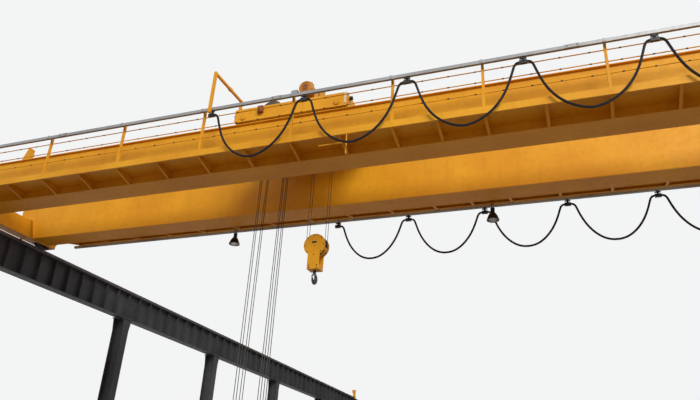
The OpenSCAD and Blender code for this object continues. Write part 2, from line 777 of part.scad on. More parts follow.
// Parallel shaft gear unit: a housing with rounded ends and feet, and a bore for the drum's journal
module gear_unit(reach, z, small_z) {
    difference() {
        union() {
            plate_y(gearbox_w) {
                translate([0, z]) circle(d = 300, $fn = 64);
                translate([reach, small_z]) circle(d = 220, $fn = 64);
                polygon([[-150, z], [-150, frame_top], [reach + 110, frame_top], [reach + 110, small_z],
                    [reach, small_z + 110], [0, z + 150]]);
            }
            translate([reach / 2 - 20, 0, frame_top + 15])
                cube([reach + 360, gearbox_w + 80, 30], center = true);
        }
        translate([0, 0, z]) bar_y(journal_d + 2 * gap, gearbox_w + 100);
    }
}

module main_hoist_drive() {
    reach = 640;
    y = drum_half + 40 + gearbox_w / 2;
    color(crane_yellow) translate([main_x, bridge_y + y, 0]) gear_unit(reach, main_drum_z, frame_top + 220);
    color("slategray") translate([main_x + reach, bridge_y + y - gearbox_w / 2, frame_top + 220]) {
        translate([0, -50, 0]) bar_y(150, 102);
        translate([0, -100, 0]) rotate([0, 0, -90]) motor(330, 620);
        for (s = [0, 1]) translate([0, -260 - s * 300, -170]) cube([300, 60, 100], center = true);
    }
}

module aux_hoist_drive() {
    reach = 20;
    y = drum_half + 40 + gearbox_w / 2;
    motor_z = aux_drum_z + 95;
    color(crane_yellow) translate([aux_x, bridge_y - y, 0]) gear_unit(reach, aux_drum_z, motor_z);
    color("goldenrod") translate([aux_x - 40, bridge_y - y - gearbox_w / 2, motor_z]) {
        translate([0, -15, 0]) bar_y(200, 32);
        translate([0, -30, 0]) rotate([0, 0, -90]) motor(260, 380);
    }
}

// Upright gear unit that hangs in the deck around the driving shaft, with its motor on top
module trolley_drive() {
    color("goldenrod") translate([trolley_x + trolley_base / 2, bridge_y + trolley_gear_y, 0]) {
        difference() {
            union() {
                plate_y(trolley_gear_w) {
                    translate([0, trolley_axle_z]) circle(d = trolley_gear_l, $fn = 48);
                    translate([-trolley_gear_l / 2, trolley_axle_z])
                        square([trolley_gear_l, frame_top + 210 - trolley_axle_z]);
                }
                translate([0, 0, frame_top + 10])
                    cube([trolley_gear_l + 90, trolley_gear_w + 70, 20], center = true);
            }
            translate([0, 0, trolley_axle_z]) bar_y(trolley_axle_d + 2 * gap, trolley_gear_w + 10);
        }
        translate([0, -trolley_gear_w / 2, frame_top + 120]) rotate([0, 0, -90]) motor(150, 300);
    }
    // Limit switch boxes beside the hoist motor
    color(steel_grey) for (i = [0, 1])
        translate([aux_x + 230 + i * 130, bridge_y - gauge / 2, frame_top + 140])
        cube([90, 110, 280], center = true);
}

// Square tube that reaches from the trolley over the railing and down to the towed carrier
module tow_arm(side, x, low, root, foot_z) {
    color(crane_yellow) translate([x, bridge_y, 0]) mirror([0, side < 0 ? 1 : 0, 0]) {
        translate([0, arm_y, (low + arm_top) / 2]) cube([arm_b, arm_b, arm_top - low], center = true);
        translate([0, (arm_y + root) / 2, arm_top - arm_b / 2])
            cube([arm_b - 8, arm_y - root + arm_b - 8, arm_b - 8], center = true);
        translate([0, (arm_y + root) / 2 - 60, arm_top - arm_b / 2])
            cube([arm_b + 8, 110, arm_b + 8], center = true);
        translate([0, root, (foot_z + arm_top) / 2]) cube([arm_b, arm_b, arm_top - foot_z], center = true);
        // Fork that takes the towed carrier along
        translate([-17, track_y + saddle_b / 2 + gap, low + 3])
            cube([34, arm_y - track_y - saddle_b / 2 - gap, 26]);
    }
}

// The near arm is bolted to the trolley's end, the far one stands on the side beam
module near_tow_arm() {
    root = gauge / 2 - 150;
    trolley_end = trolley_x - trolley_l / 2;
    tow_arm(-1, near_tow, near_track_z - saddle_drop + 20, root, frame_top - 200);
    color(crane_yellow) translate([(near_tow + trolley_end) / 2, bridge_y - root, frame_top - 100])
        cube([trolley_end - near_tow, 50, 160], center = true);
}

module far_tow_arm() {
    tow_arm(1, far_tow, far_track_z - saddle_drop + 20, gauge / 2, frame_top);
    color(crane_yellow) translate([far_tow, bridge_y + gauge / 2, frame_top + 6])
        cube([160, 160, 12], center = true);
}

// Grooved sheave about Y
module sheave(pitch_r, rope, bore) {
    rim = pitch_r + rope * 1.2;
    base = pitch_r - rope * 0.55;
    half = rope * 1.35;
    rotate([90, 0, 0]) rotate_extrude($fn = 64)
        polygon([[bore / 2, -half - 6], [bore / 2 + 26, -half - 6], [bore / 2 + 30, -half * 0.5],
            [base - 22, -half * 0.45], [base - 14, -half], [rim, -half], [base, -rope * 0.35],
            [base, rope * 0.35], [rim, half], [base - 14, half], [base - 22, half * 0.45],
            [bore / 2 + 30, half * 0.5], [bore / 2 + 26, half + 6], [bore / 2, half + 6]]);
}

// Small sheave about X that evens out the two halves of a rope, on a pin from a cross beam
module balance_sheave(fall_pitch, rope) {
    rim = fall_pitch / 2 + rope;
    base = fall_pitch / 2 - rope * 0.55;
    half = rope * 1.2;
    rotate([0, 90, 0]) rotate_extrude($fn = 64)
        polygon([[0, -half - 4], [22, -half - 4], [24, -half], [rim, -half], [base, -rope * 0.3],
            [base, rope * 0.3], [rim, half], [24, half], [22, half + 4], [0, half + 4]]);
    translate([(balance_reach - half - 8) / 2, 0, 0]) bar_x(30, balance_reach + half + 8);
}

// Two large upper sheaves for the main ropes, hung from the deck, and both balance sheaves
module upper_sheaves() {
    hanger_y = 1.5 * main_sheave_pitch + 80;
    hanger_up = frame_top - deck_plate_t - upper_axle_z;
    color(steel_grey) {
        translate([main_x, bridge_y, upper_axle_z]) {
            for (s = [-1, 1]) translate([0, s * main_sheave_pitch, 0]) sheave(main_r, main_rope_d, 60);
            bar_y(62, 2 * hanger_y + 30);
            for (s = [-1, 1]) translate([0, s * hanger_y, 0]) plate_y(16)
                polygon([[-60, -60], [60, -60], [120, hanger_up], [-120, hanger_up]]);
        }
        translate([main_x + main_r, bridge_y, balance_z]) balance_sheave(main_sheave_pitch, main_rope_d);
        translate([aux_x + aux_r, bridge_y, balance_z]) balance_sheave(aux_sheave_pitch, aux_rope_d);
    }
}

// A straight round rope from one point to another
module fall(from, to, d) {
    v = to - from;
    translate(from) rotate([0, acos(v[2] / norm(v)), atan2(v[1], v[0])])
        cylinder(d = d, h = norm(v), $fn = 16);
}

// Straight falls. The outer ones on the left leave the drum, the inner ones on the right end at the
// balance sheave, and the others lean a little to meet the upper sheaves.
module main_ropes() {
    p = main_sheave_pitch;
    color(rope_grey) translate([main_x, bridge_y, 0]) for (s = [-1, 1]) {
        fall([-main_r, s * 1.5 * p, main_axle_z], [-main_r, s * 1.5 * p, main_drum_z], main_rope_d);
        fall([-main_r, s * 0.5 * p, main_axle_z], [-main_r, s * p, upper_axle_z], main_rope_d);
        fall([main_r, s * 1.5 * p, main_axle_z], [main_r, s * p, upper_axle_z], main_rope_d);
        fall([main_r, s * 0.5 * p, main_axle_z], [main_r, s * 0.5 * p, balance_z], main_rope_d);
    }
}

module aux_ropes() {
    color(rope_grey) translate([aux_x, bridge_y, 0]) for (y = aux_falls) {
        fall([-aux_r, y, aux_axle_z], [-aux_r, y, aux_drum_z], aux_rope_d);
        fall([aux_r, y, aux_axle_z], [aux_r, y, balance_z], aux_rope_d);
    }
}

// Side plate of a hook block: round about the axle, with a straight tail down to the crosshead
module block_cheek(r, depth, foot) {
    circle(r = r, $fn = 64);
    translate([-foot, -depth]) square([2 * foot, depth]);
}

// Lower half of the sheave cover, as a curved plate
module cover_outline(r) {
    difference() {
        circle(r = r, $fn = 64);
        circle(r = r - 8, $fn = 64);
        translate([-r - 1, -r * 0.25]) square([2 * r + 2, 2 * r]);
    }
}

// Two cheeks, the sheave axle, a slotted cover and the crosshead that the hook's shank passes through
module hook_block(r, half_y, depth, foot, pin, bore, head_h, falls, slot) {
    difference() {
        union() {
            for (s = [-1, 1]) translate([0, s * (half_y + 8), 0]) plate_y(16) block_cheek(r, depth, foot);
            bar_y(pin, 2 * half_y + 60);
            difference() {
                plate_y(2 * half_y + 2) cover_outline(r);
                for (y = falls) translate([0, y, -r * 0.6])
                    cube([2 * r * 0.86, slot, r * 0.5], center = true);
            }
            translate([0, 0, -depth + head_h / 2]) cube([2 * foot, 2 * half_y + 2, head_h], center = true);
        }
        translate([0, 0, -depth - 1]) cylinder(d = bore, h = head_h + 2, $fn = 48);
    }
}

// Forged hook in the plane across the girders, hanging from a threaded shank with its nut
module forged_hook(scale_r, shank_d, shank_up, nut_z) {
    n = 26;
    thick = [for (i = [0:n]) let (t = i / n)
        scale_r * (0.40 + 0.30 * sin(min(180, 200 * t)) - 0.26 * max(0, t - 0.6) / 0.4)];
    wide = [for (i = [0:n]) thick[i] * 0.78];
    path = [for (i = [0:n]) let (w = 82 - 292 * i / n, out = 1 + 0.35 * max(0, i / n - 0.85) / 0.15)
        [0, scale_r * 1.35 * out * cos(w), -scale_r * 2.3 + scale_r * 1.35 * sin(w)]];
    sweep(path, [1, 0, 0], thick, wide, 12);
    translate([0, 0, -scale_r * 1.1])
        cylinder(d1 = shank_d * 1.25, d2 = shank_d, h = scale_r * 1.1, $fn = 48);
    cylinder(d = shank_d, h = shank_up, $fn = 48);
    translate([0, 0, nut_z]) cylinder(d = shank_d * 1.9, h = shank_up - nut_z - 8, $fn = 48);
}

main_half_y = 2 * main_sheave_pitch - 10;
main_depth = 560;
main_shank = 120;
aux_half_y = aux_sheave_pitch / 2 + 45;
aux_depth = 560;
aux_shank = 60;

module main_hook_block() {
    color(crane_yellow) translate([main_x, bridge_y, main_axle_z])
        hook_block(main_r + 40, main_half_y, main_depth, 190, hook_pin_d, main_shank + 2 * gap, 130,
            main_falls, 56);
}

module main_sheaves() {
    color(dark) translate([main_x, bridge_y, main_axle_z])
        for (y = main_falls) translate([0, y, 0]) sheave(main_r, main_rope_d, hook_pin_d + 1);
}

module main_hook() {
    color(dark) translate([main_x, bridge_y, main_axle_z - main_depth - 20])
        forged_hook(125, main_shank, 250, 150 + gap);
}

module aux_hook_block() {
    color(crane_yellow) translate([aux_x, bridge_y, aux_axle_z])
        hook_block(aux_r + 30, aux_half_y, aux_depth, 140, 60, aux_shank + 2 * gap, 100, aux_falls, 44);
}

module aux_sheaves() {
    color(dark) translate([aux_x, bridge_y, aux_axle_z])
        for (y = aux_falls) translate([0, y, 0]) sheave(aux_r, aux_rope_d, 61);
}

module aux_hook() {
    color(dark) translate([aux_x, bridge_y, aux_axle_z - aux_depth - 10])
        forged_hook(72, aux_shank, 170, 110 + gap);
}

// Festoon

// Carrier that runs in the track, with the saddle that clamps the cables
module carrier() {
    roller_z = track_wall + roller_d / 2 + gap;
    for (s = [-1, 1]) translate([s * 34, 0, roller_z]) bar_y(roller_d, 34);
    translate([0, 0, roller_z]) cube([90, neck_b, 12], center = true);
    translate([-20, -neck_b / 2, -saddle_drop]) cube([40, neck_b, saddle_drop + roller_z]);
    translate([0, 0, -saddle_drop]) cube([2 * saddle_half, saddle_b, saddle_h], center = true);
}

module festoon_carriers(k) {
    color(dark) {
        translate([near_tow + (k - 1) * near_pitch, bridge_y - track_y, near_track_z]) carrier();
        translate([far_tow + (k - 1) * far_pitch, bridge_y + track_y, far_track_z]) carrier();
    }
}

module festoon_carriers_1() { festoon_carriers(1); }

module festoon_carriers_2() { festoon_carriers(2); }

module festoon_carriers_3() { festoon_carriers(3); }

module festoon_carriers_4() { festoon_carriers(4); }

module festoon_carriers_5() { festoon_carriers(5); }

module festoon_carriers_6() { festoon_carriers(6); }

// One hanging loop, as wide as the space between two clamps
module cable_loop(half_route, width) {
    n = len(half_route) - 1;
    low = half_route[n][0];
    bend = 122;
    stretch = (width / 2 - bend) / (low - bend);
    half = [for (p = half_route) [p[0] < bend ? p[0] : bend + (p[0] - bend) * stretch, 0, p[1]]];
    path = concat(half, [for (i = [n - 1:-1:0]) [width - half[i][0], 0, half[i][2]]]);
    radii = [for (p = path) cable_d / 2];
    sweep(path, [0, 1, 0], radii, radii, 8);
}

module festoon_loops(k) {
    color("black") {
        translate([near_tow + (k - 1) * near_pitch + saddle_half, bridge_y - track_y,
                near_track_z - saddle_drop])
            cable_loop(near_half, near_pitch - 2 * saddle_half);
        translate([far_tow + (k - 1) * far_pitch + saddle_half, bridge_y + track_y,
                far_track_z - saddle_drop])
            cable_loop(far_half, far_pitch - 2 * saddle_half);
    }
}

module festoon_loops_1() { festoon_loops(1); }

module festoon_loops_2() { festoon_loops(2); }

module festoon_loops_3() { festoon_loops(3); }

module festoon_loops_4() { festoon_loops(4); }

module festoon_loops_5() { festoon_loops(5); }

module festoon_loops_6() { festoon_loops(6); }

left_columns();
right_columns();
left_runway_beam();
right_runway_beam();
left_crane_rail();
right_crane_rail();
runway_end_stops();
conductor_bars();
near_girder();
far_girder();
left_end_carriage();
right_end_carriage();
trolley_rails();
near_walkway();
far_walkway();
near_railing();
far_railing();
near_festoon_track();
far_festoon_track();
left_travel_drive();
right_travel_drive();
collector_bracket();
bridge_lamps();
left_near_wheel();
right_near_wheel();
left_far_wheel();
right_far_wheel();
trolley_frame();
idle_wheels();
drive_wheels();
main_drum();
aux_drum();
main_hoist_drive();
aux_hoist_drive();
trolley_drive();
near_tow_arm();
far_tow_arm();
upper_sheaves();
main_ropes();
aux_ropes();
main_hook_block();
main_sheaves();
main_hook();
aux_hook_block();
aux_sheaves();
aux_hook();
festoon_carriers_1();
festoon_carriers_2();
festoon_carriers_3();
festoon_carriers_4();
festoon_carriers_5();
festoon_carriers_6();
festoon_loops_1();
festoon_loops_2();
festoon_loops_3();
festoon_loops_4();
festoon_loops_5();
festoon_loops_6();
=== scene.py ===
"""Looks of a double girder overhead travelling crane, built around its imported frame. Metres, +Z up."""
import json
import math
from itertools import product

import bpy
from mathutils import Matrix, Vector


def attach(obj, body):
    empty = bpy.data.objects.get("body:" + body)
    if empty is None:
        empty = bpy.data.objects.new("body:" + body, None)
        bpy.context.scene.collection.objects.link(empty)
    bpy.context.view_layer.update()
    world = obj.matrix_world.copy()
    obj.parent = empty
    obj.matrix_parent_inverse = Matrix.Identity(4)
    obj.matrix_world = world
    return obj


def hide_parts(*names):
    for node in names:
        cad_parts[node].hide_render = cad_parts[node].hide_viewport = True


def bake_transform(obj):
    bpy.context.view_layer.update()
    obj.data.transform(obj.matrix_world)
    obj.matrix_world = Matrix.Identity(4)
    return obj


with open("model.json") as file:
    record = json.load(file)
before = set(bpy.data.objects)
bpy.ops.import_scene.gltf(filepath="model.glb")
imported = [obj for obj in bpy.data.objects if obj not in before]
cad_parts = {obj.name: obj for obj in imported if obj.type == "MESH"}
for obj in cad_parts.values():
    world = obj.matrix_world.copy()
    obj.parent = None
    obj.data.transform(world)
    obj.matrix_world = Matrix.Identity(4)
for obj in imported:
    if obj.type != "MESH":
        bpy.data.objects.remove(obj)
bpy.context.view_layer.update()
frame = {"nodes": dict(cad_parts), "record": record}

scene = bpy.context.scene
nodes = frame["nodes"]

# Camera at eye height on the floor in front of the crane, looking up at it
CAMERA_AT = Vector((4.2, -23.9, 1.5))
CAMERA_RIGHT = Vector((0.93697, 0.34548, 0.05226))
CAMERA_UP = Vector((0.10430, -0.41928, 0.90184))
CAMERA_FORWARD = Vector((-0.33348, 0.83955, 0.42889))
FOCAL_PIXELS = 639.22
IMAGE_WIDTH = 700
SENSOR = 36.0

camera_data = bpy.data.cameras.new("camera")
camera_data.sensor_width = SENSOR
camera_data.lens = FOCAL_PIXELS * SENSOR / IMAGE_WIDTH
camera_data.clip_end = 300
camera = bpy.data.objects.new("camera", camera_data)
scene.collection.objects.link(camera)
axes = Matrix((CAMERA_RIGHT, CAMERA_UP, -CAMERA_FORWARD)).transposed()
camera.matrix_world = Matrix.Translation(CAMERA_AT) @ axes.to_4x4()
scene.camera = camera

# Sizes that the frame shares, in metres: the runway
SPAN = 22.5
BAY_L = 6.0
COLUMNS = 7
BASE_T = 0.035
BEAM_BOTTOM = 6.97
BEAM_TOP = 7.87
BEAM_FLANGE_T = 0.02
BEAM_WEB_T = 0.012
BAR_OFF = 0.28
BAR_TOP_Z = 7.7
BAR_PITCH = 0.15

# The bridge
BRIDGE_Y = -11.8
GAUGE = 2.25
GIRDER_TOP = 9.2
GIRDER_BOTTOM = 8.0
GIRDER_FLANGE_T = 0.016
GIRDER_WEB_OUT = 0.25
CARRIAGE_TOP = 8.6
WHEELBASE = 3.2
BRIDGE_AXLE_Z = 8.25
DECK_Z = 8.22
DECK_T = 0.006
DECK_EDGE_H = 0.06
EDGE_Y = 1.98
POST_Y = 1.949
POST_H = 1.08
POSTS = [-10.05 + 2.2 * i for i in range(6)] + [2.75 + 2.2 * i for i in range(4)] + [10.05]
THIN_RAILS = (0.37, 0.61, 0.85)
LAMPS = (-4.6, 2.3, 9.2)

# The festoons
TRACK_Y = 2.06
NEAR_TRACK_Z = 9.22
FAR_TRACK_Z = 8.12
TRACK_H = 0.07
SADDLE_HALF = 0.07
SADDLE_DROP = 0.12
FESTOON_STEPS = 6
NEAR_PITCH = 2.24
FAR_PITCH = 1.9
NEAR_TOW = -3.2
FAR_TOW = -1.72

# The trolley and its hoists
TROLLEY_X = -1.72
TROLLEY_HALF = 1.4
WHEEL_OFF = 1.17
TROLLEY_AXLE_Z = 9.482
FRAME_TOP = 9.712
MAIN_X = -2.58
AUX_X = -1.34
MAIN_R = 0.28
AUX_R = 0.225
MAIN_ROPE_D = 0.018
AUX_ROPE_D = 0.013
MAIN_SHEAVE_PITCH = 0.12
AUX_SHEAVE_PITCH = 0.13
MAIN_DRUM_Z = 10.052
AUX_DRUM_Z = 9.982
UPPER_AXLE_Z = 9.417
BALANCE_Z = 9.582
MAIN_AXLE_Z = 2.62
AUX_AXLE_Z = 6.62
MAIN_MOTOR_X = -1.94
MAIN_MOTOR_Z = 9.932
AUX_MOTOR_X = -1.38
AUX_MOTOR_Z = 10.077

SIDES = (-1, 1)
UP = (0, 0, 1)
DOWN = (0, 0, -1)


# Materials

def node_tree(name):
    """A new material with its node tree and shader, and the object-space position."""
    material = bpy.data.materials.new(name)
    material.use_nodes = True
    tree = material.node_tree
    shader = tree.nodes["Principled BSDF"]
    place = tree.nodes.new("ShaderNodeTexCoord").outputs["Object"]
    return material, tree, shader, place


def noise(tree, place, scale, detail=4.0, rough=0.55, stretch=(1, 1, 1)):
    """Noise over the surface, stretched along an axis where asked."""
    mapping = tree.nodes.new("ShaderNodeMapping")
    mapping.inputs["Scale"].default_value = stretch
    tree.links.new(place, mapping.inputs["Vector"])
    texture = tree.nodes.new("ShaderNodeTexNoise")
    texture.inputs["Scale"].default_value = scale
    texture.inputs["Detail"].default_value = detail
    texture.inputs["Roughness"].default_value = rough
    tree.links.new(mapping.outputs["Vector"], texture.inputs["Vector"])
    return texture.outputs["Fac"]


def ramp(tree, value, low, high, start=0.0, end=1.0):
    """Maps low..high to start..end, clamped."""
    node = tree.nodes.new("ShaderNodeMapRange")
    node.inputs["From Min"].default_value = low
    node.inputs["From Max"].default_value = high
    node.inputs["To Min"].default_value = start
    node.inputs["To Max"].default_value = end
    tree.links.new(value, node.inputs["Value"])
    return node.outputs["Result"]


def feed(tree, socket, value):
    """Puts a number, a colour or another node's output into a socket."""
    if isinstance(value, (int, float)):
        socket.default_value = value
    elif isinstance(value, tuple):
        socket.default_value = value + (1.0,)
    else:
        tree.links.new(value, socket)


def times(tree, a, b):
    """Product of two values."""
    node = tree.nodes.new("ShaderNodeMath")
    node.operation = "MULTIPLY"
    feed(tree, node.inputs[0], a)
    feed(tree, node.inputs[1], b)
    return node.outputs["Value"]


def mix(tree, factor, a, b):
    """Mixes two colours, each a socket or a tuple."""
    node = tree.nodes.new("ShaderNodeMix")
    node.data_type = "RGBA"
    colour_a, colour_b, colour_out = node.inputs[6], node.inputs[7], node.outputs[2]
    feed(tree, node.inputs[0], factor)
    feed(tree, colour_a, a)
    feed(tree, colour_b, b)
    return colour_out


def darker(colour, share):
    """A share of a colour."""
    return tuple(share * c for c in colour)


def facing_up(tree, low=0.6, high=0.95):
    """1 on faces that look up, 0 on the rest."""
    geometry = tree.nodes.new("ShaderNodeTexCoord")
    split = tree.nodes.new("ShaderNodeSeparateXYZ")
    tree.links.new(geometry.outputs["Normal"], split.inputs["Vector"])
    return ramp(tree, split.outputs["Z"], low, high)


def bump(tree, shader, height, strength, distance):
    """Small relief on a shader's surface."""
    node = tree.nodes.new("ShaderNodeBump")
    node.inputs["Strength"].default_value = strength
    node.inputs["Distance"].default_value = distance
    tree.links.new(height, node.inputs["Height"])
    tree.links.new(node.outputs["Normal"], shader.inputs["Normal"])


def coated(name, colour, shade, dust, rough=(0.38, 0.58), chips=0.0, metallic=0.0, streaks=0.35, gloss=0.35):
    """Paint or plated steel with broad fading, run-down streaks, dust on top faces and small chips."""
    material, tree, shader, place = node_tree(name)
    broad = noise(tree, place, 0.7, 3.0)
    fine = noise(tree, place, 9.0, 5.0)
    runs = noise(tree, place, 5.0, 4.0, 0.6, (1.6, 1.6, 0.16))
    body = mix(tree, ramp(tree, broad, 0.35, 0.68), shade, colour)
    body = mix(tree, ramp(tree, runs, 0.54, 0.74, 0.0, streaks), body, darker(shade, 0.45))
    body = mix(tree, ramp(tree, fine, 0.5, 0.78, 0.0, 0.22), body, darker(shade, 0.6))
    if chips > 0:
        spots = ramp(tree, noise(tree, place, 34.0, 3.0, 0.7), 0.735 - 0.03 * chips, 0.76)
        body = mix(tree, times(tree, spots, chips), body, BARE_RUST)
    top = times(tree, facing_up(tree), ramp(tree, fine, 0.25, 0.6, 0.35, 0.85))
    body = mix(tree, top, body, dust)
    tree.links.new(body, shader.inputs["Base Color"])
    tree.links.new(ramp(tree, fine, 0.3, 0.7, *rough), shader.inputs["Roughness"])
    shader.inputs["Metallic"].default_value = metallic
    shader.inputs["Specular IOR Level"].default_value = gloss
    bump(tree, shader, noise(tree, place, 60.0, 3.0), 0.25, 0.0015)
    return material


def rubber(name, colour, grain, distance):
    """Black rubber or cable sheath: matt, with a slight sheen and fine marks."""
    material, tree, shader, place = node_tree(name)
    fine = noise(tree, place, grain, 3.0)
    tone = mix(tree, ramp(tree, fine, 0.3, 0.7), darker(colour, 0.7), darker(colour, 1.7))
    tree.links.new(tone, shader.inputs["Base Color"])
    tree.links.new(ramp(tree, fine, 0.3, 0.7, 0.52, 0.70), shader.inputs["Roughness"])
    shader.inputs["Specular IOR Level"].default_value = 0.25
    bump(tree, shader, fine, 0.3, distance)
    return material


def wire_rope(name):
    """Greased steel strands."""
    material, tree, shader, place = node_tree(name)
    fine = noise(tree, place, 120.0, 3.0)
    tone = mix(tree, ramp(tree, fine, 0.3, 0.7), (0.035, 0.031, 0.028), (0.16, 0.15, 0.14))
    tree.links.new(tone, shader.inputs["Base Color"])
    shader.inputs["Metallic"].default_value = 0.7
    shader.inputs["Roughness"].default_value = 0.48
    bump(tree, shader, fine, 0.4, 0.0008)
    return material


def bulb_glass(name):
    """Milky glass with faint swirls."""
    material, tree, shader, place = node_tree(name)
    swirl = noise(tree, place, 30.0, 3.0)
    tone = mix(tree, ramp(tree, swirl, 0.3, 0.7), (0.72, 0.71, 0.68), (0.88, 0.87, 0.85))
    tree.links.new(tone, shader.inputs["Base Color"])
    shader.inputs["Roughness"].default_value = 0.18
    bump(tree, shader, swirl, 0.1, 0.001)
    return material


# What shows where paint has chipped off
BARE_RUST = (0.12, 0.055, 0.03)

# Each finish has its colour, its faded shade and the dust on its top faces
crane_paint = coated("crane_paint", (0.80, 0.385, 0.016), (0.70, 0.305, 0.010), (0.50, 0.33, 0.14),
                     chips=0.7, streaks=0.14, gloss=0.22)
runway_paint = coated("runway_paint", (0.058, 0.060, 0.064), (0.040, 0.042, 0.046), (0.17, 0.16, 0.15),
                      rough=(0.5, 0.7))
rail_steel = coated("rail_steel", (0.27, 0.25, 0.235), (0.16, 0.12, 0.10), (0.30, 0.27, 0.24),
                    metallic=0.6, streaks=0.2)
dark_steel = coated("dark_steel", (0.050, 0.049, 0.050), (0.030, 0.029, 0.030), (0.10, 0.09, 0.08),
                    metallic=0.3)
track_zinc = coated("track_zinc", (0.44, 0.45, 0.46), (0.30, 0.31, 0.32), (0.40, 0.38, 0.36),
                    metallic=0.35, streaks=0.2)
motor_paint = coated("motor_paint", (0.66, 0.31, 0.035), (0.50, 0.20, 0.02), (0.42, 0.33, 0.22),
                     rough=(0.35, 0.5), streaks=0.2)
drum_steel = coated("drum_steel", (0.17, 0.15, 0.13), (0.09, 0.075, 0.06), (0.18, 0.16, 0.14),
                    metallic=0.7)
lamp_paint = coated("lamp_paint", (0.035, 0.035, 0.037), (0.022, 0.022, 0.024), (0.12, 0.11, 0.10),
                    rough=(0.3, 0.45))
bar_cover = coated("bar_cover", (0.55, 0.13, 0.045), (0.40, 0.09, 0.035), (0.40, 0.25, 0.18),
                   rough=(0.4, 0.55))
box_paint = coated("box_paint", (0.30, 0.105, 0.032), (0.21, 0.07, 0.022), (0.30, 0.20, 0.15),
                   rough=(0.4, 0.6))
# Pale cream for the strip at the trolley's end: a painted highlight where the end catches the light
painted_highlight = coated("painted_highlight", (0.82, 0.74, 0.52), (0.66, 0.56, 0.36), (0.5, 0.45, 0.35),
                     rough=(0.4, 0.55), streaks=0.15)
bright_steel = coated("bright_steel", (0.55, 0.54, 0.52), (0.36, 0.33, 0.30), (0.40, 0.37, 0.33),
                      metallic=0.85, rough=(0.28, 0.45))
cable_sheath = rubber("cable_sheath", (0.011, 0.010, 0.010), 40.0, 0.001)
buffer_rubber = rubber("buffer_rubber", (0.022, 0.021, 0.021), 70.0, 0.0015)
rope_steel = wire_rope("rope_steel")


# Mesh helpers

def sideways(axis):
    """Two directions square to an axis and to each other."""
    side = axis.orthogonal().normalized()
    return side, axis.cross(side)


def ring(centre, side, other, radius, sides):
    """Points of a circle in the plane of two directions."""
    points = []
    for i in range(sides):
        a = 2 * math.pi * i / sides
        points.append(centre + side * (radius * math.cos(a)) + other * (radius * math.sin(a)))
    return points


def ring_walls(rows, sides):
    """Faces between neighbouring rings of a row."""
    faces = []
    for i, j in product(range(rows - 1), range(sides)):
        here, there = i * sides, (i + 1) * sides
        turn = (j + 1) % sides
        faces.append((here + j, here + turn, there + turn, there + j))
    return faces


def ring_ends(rows, sides):
    """Faces that close the first and the last ring of a row."""
    return [tuple(range(sides - 1, -1, -1)), tuple(range((rows - 1) * sides, rows * sides))]


def directions(path):
    """Direction of a path at each of its points."""
    last = len(path) - 1
    return [(path[min(i + 1, last)] - path[max(i - 1, 0)]).normalized() for i in range(len(path))]


def leaning(along):
    """Turn about X that lays a block's Y side along a direction."""
    x_axis = Vector((1, 0, 0))
    return Matrix((x_axis, along, x_axis.cross(along))).transposed()


class Shape:
    """Collects simple solids into one mesh."""

    def __init__(self):
        self.points = []
        self.faces = []

    def add(self, points, faces):
        """Takes in points, and faces that count from the first of them."""
        start = len(self.points)
        self.points.extend(points)
        self.faces.extend([[start + i for i in face] for face in faces])

    def block(self, centre, size, turn=None):
        """Box of a size about its centre, turned by a matrix where one is given."""
        c = Vector(centre)
        h = Vector(size) / 2
        corners = [Vector((x * h.x, y * h.y, z * h.z)) for x, y, z in product(SIDES, repeat=3)]
        if turn is not None:
            corners = [turn @ p for p in corners]
        faces = [(0, 1, 3, 2), (4, 6, 7, 5), (0, 4, 5, 1), (2, 3, 7, 6), (0, 2, 6, 4), (1, 5, 7, 3)]
        self.add([c + p for p in corners], faces)

    def rod(self, start, end, radius, sides=16):
        """Cylinder from one point to another."""
        start, end = Vector(start), Vector(end)
        side, other = sideways((end - start).normalized())
        rings = ring(start, side, other, radius, sides) + ring(end, side, other, radius, sides)
        self.add(rings, ring_walls(2, sides) + ring_ends(2, sides))

    def tube(self, path, radius, sides, across):
        """Round tube along a path, with closed ends. across keeps the rings from turning."""
        rings = []
        for p, t in zip(path, directions(path)):
            u = across.cross(t).normalized()
            rings += ring(p, u, t.cross(u), radius, sides)
        self.add(rings, ring_walls(len(path), sides) + ring_ends(len(path), sides))

    def lathe(self, centre, axis, profile, sides=48):
        """Turned shape: profile is (distance along the axis, radius)."""
        centre, axis = Vector(centre), Vector(axis).normalized()
        side, other = sideways(axis)
        rings = []
        for along, r in profile:
            rings += ring(centre + axis * along, side, other, r, sides)
        self.add(rings, ring_walls(len(profile), sides))

    def bolt(self, at, axis, size=0.024, height=0.014, washer=True):
        """Hexagon head on a washer; at is on the surface, axis points out of it."""
        at, axis = Vector(at), Vector(axis).normalized()
        washer_t = 0.004
        if washer:
            self.rod(at, at + axis * washer_t, size * 0.75, 16)
        self.rod(at, at + axis * (height + washer_t), size * 0.577, 6)

    def cap(self, at, axis, radius, count=6):
        """Bolted bearing cover on a flat face."""
        at, axis = Vector(at), Vector(axis).normalized()
        side, other = sideways(axis)
        rim, boss = 0.012, 0.018
        profile = [(0.0, radius), (0.010, radius), (rim, radius * 0.96), (rim, radius * 0.55),
                   (boss, radius * 0.5), (boss, 0.0)]
        self.lathe(at, axis, profile, 32)
        for i in range(count):
            a = 2 * math.pi * i / count
            head = at + axis * rim + (side * math.cos(a) + other * math.sin(a)) * radius * 0.78
            self.bolt(head, axis, radius * 0.16, radius * 0.09, False)

    def made(self, name, body, material):
        """The finished object. It rides on its body where one is given."""
        mesh = bpy.data.meshes.new(name)
        mesh.from_pydata([tuple(p) for p in self.points], [], self.faces)
        mesh.validate()
        mesh.materials.append(material)
        mesh.shade_smooth()
        mesh.set_sharp_from_angle(angle=math.radians(35))
        obj = bpy.data.objects.new(name, mesh)
        scene.collection.objects.link(obj)
        if body is not None:
            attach(obj, body)
        return obj


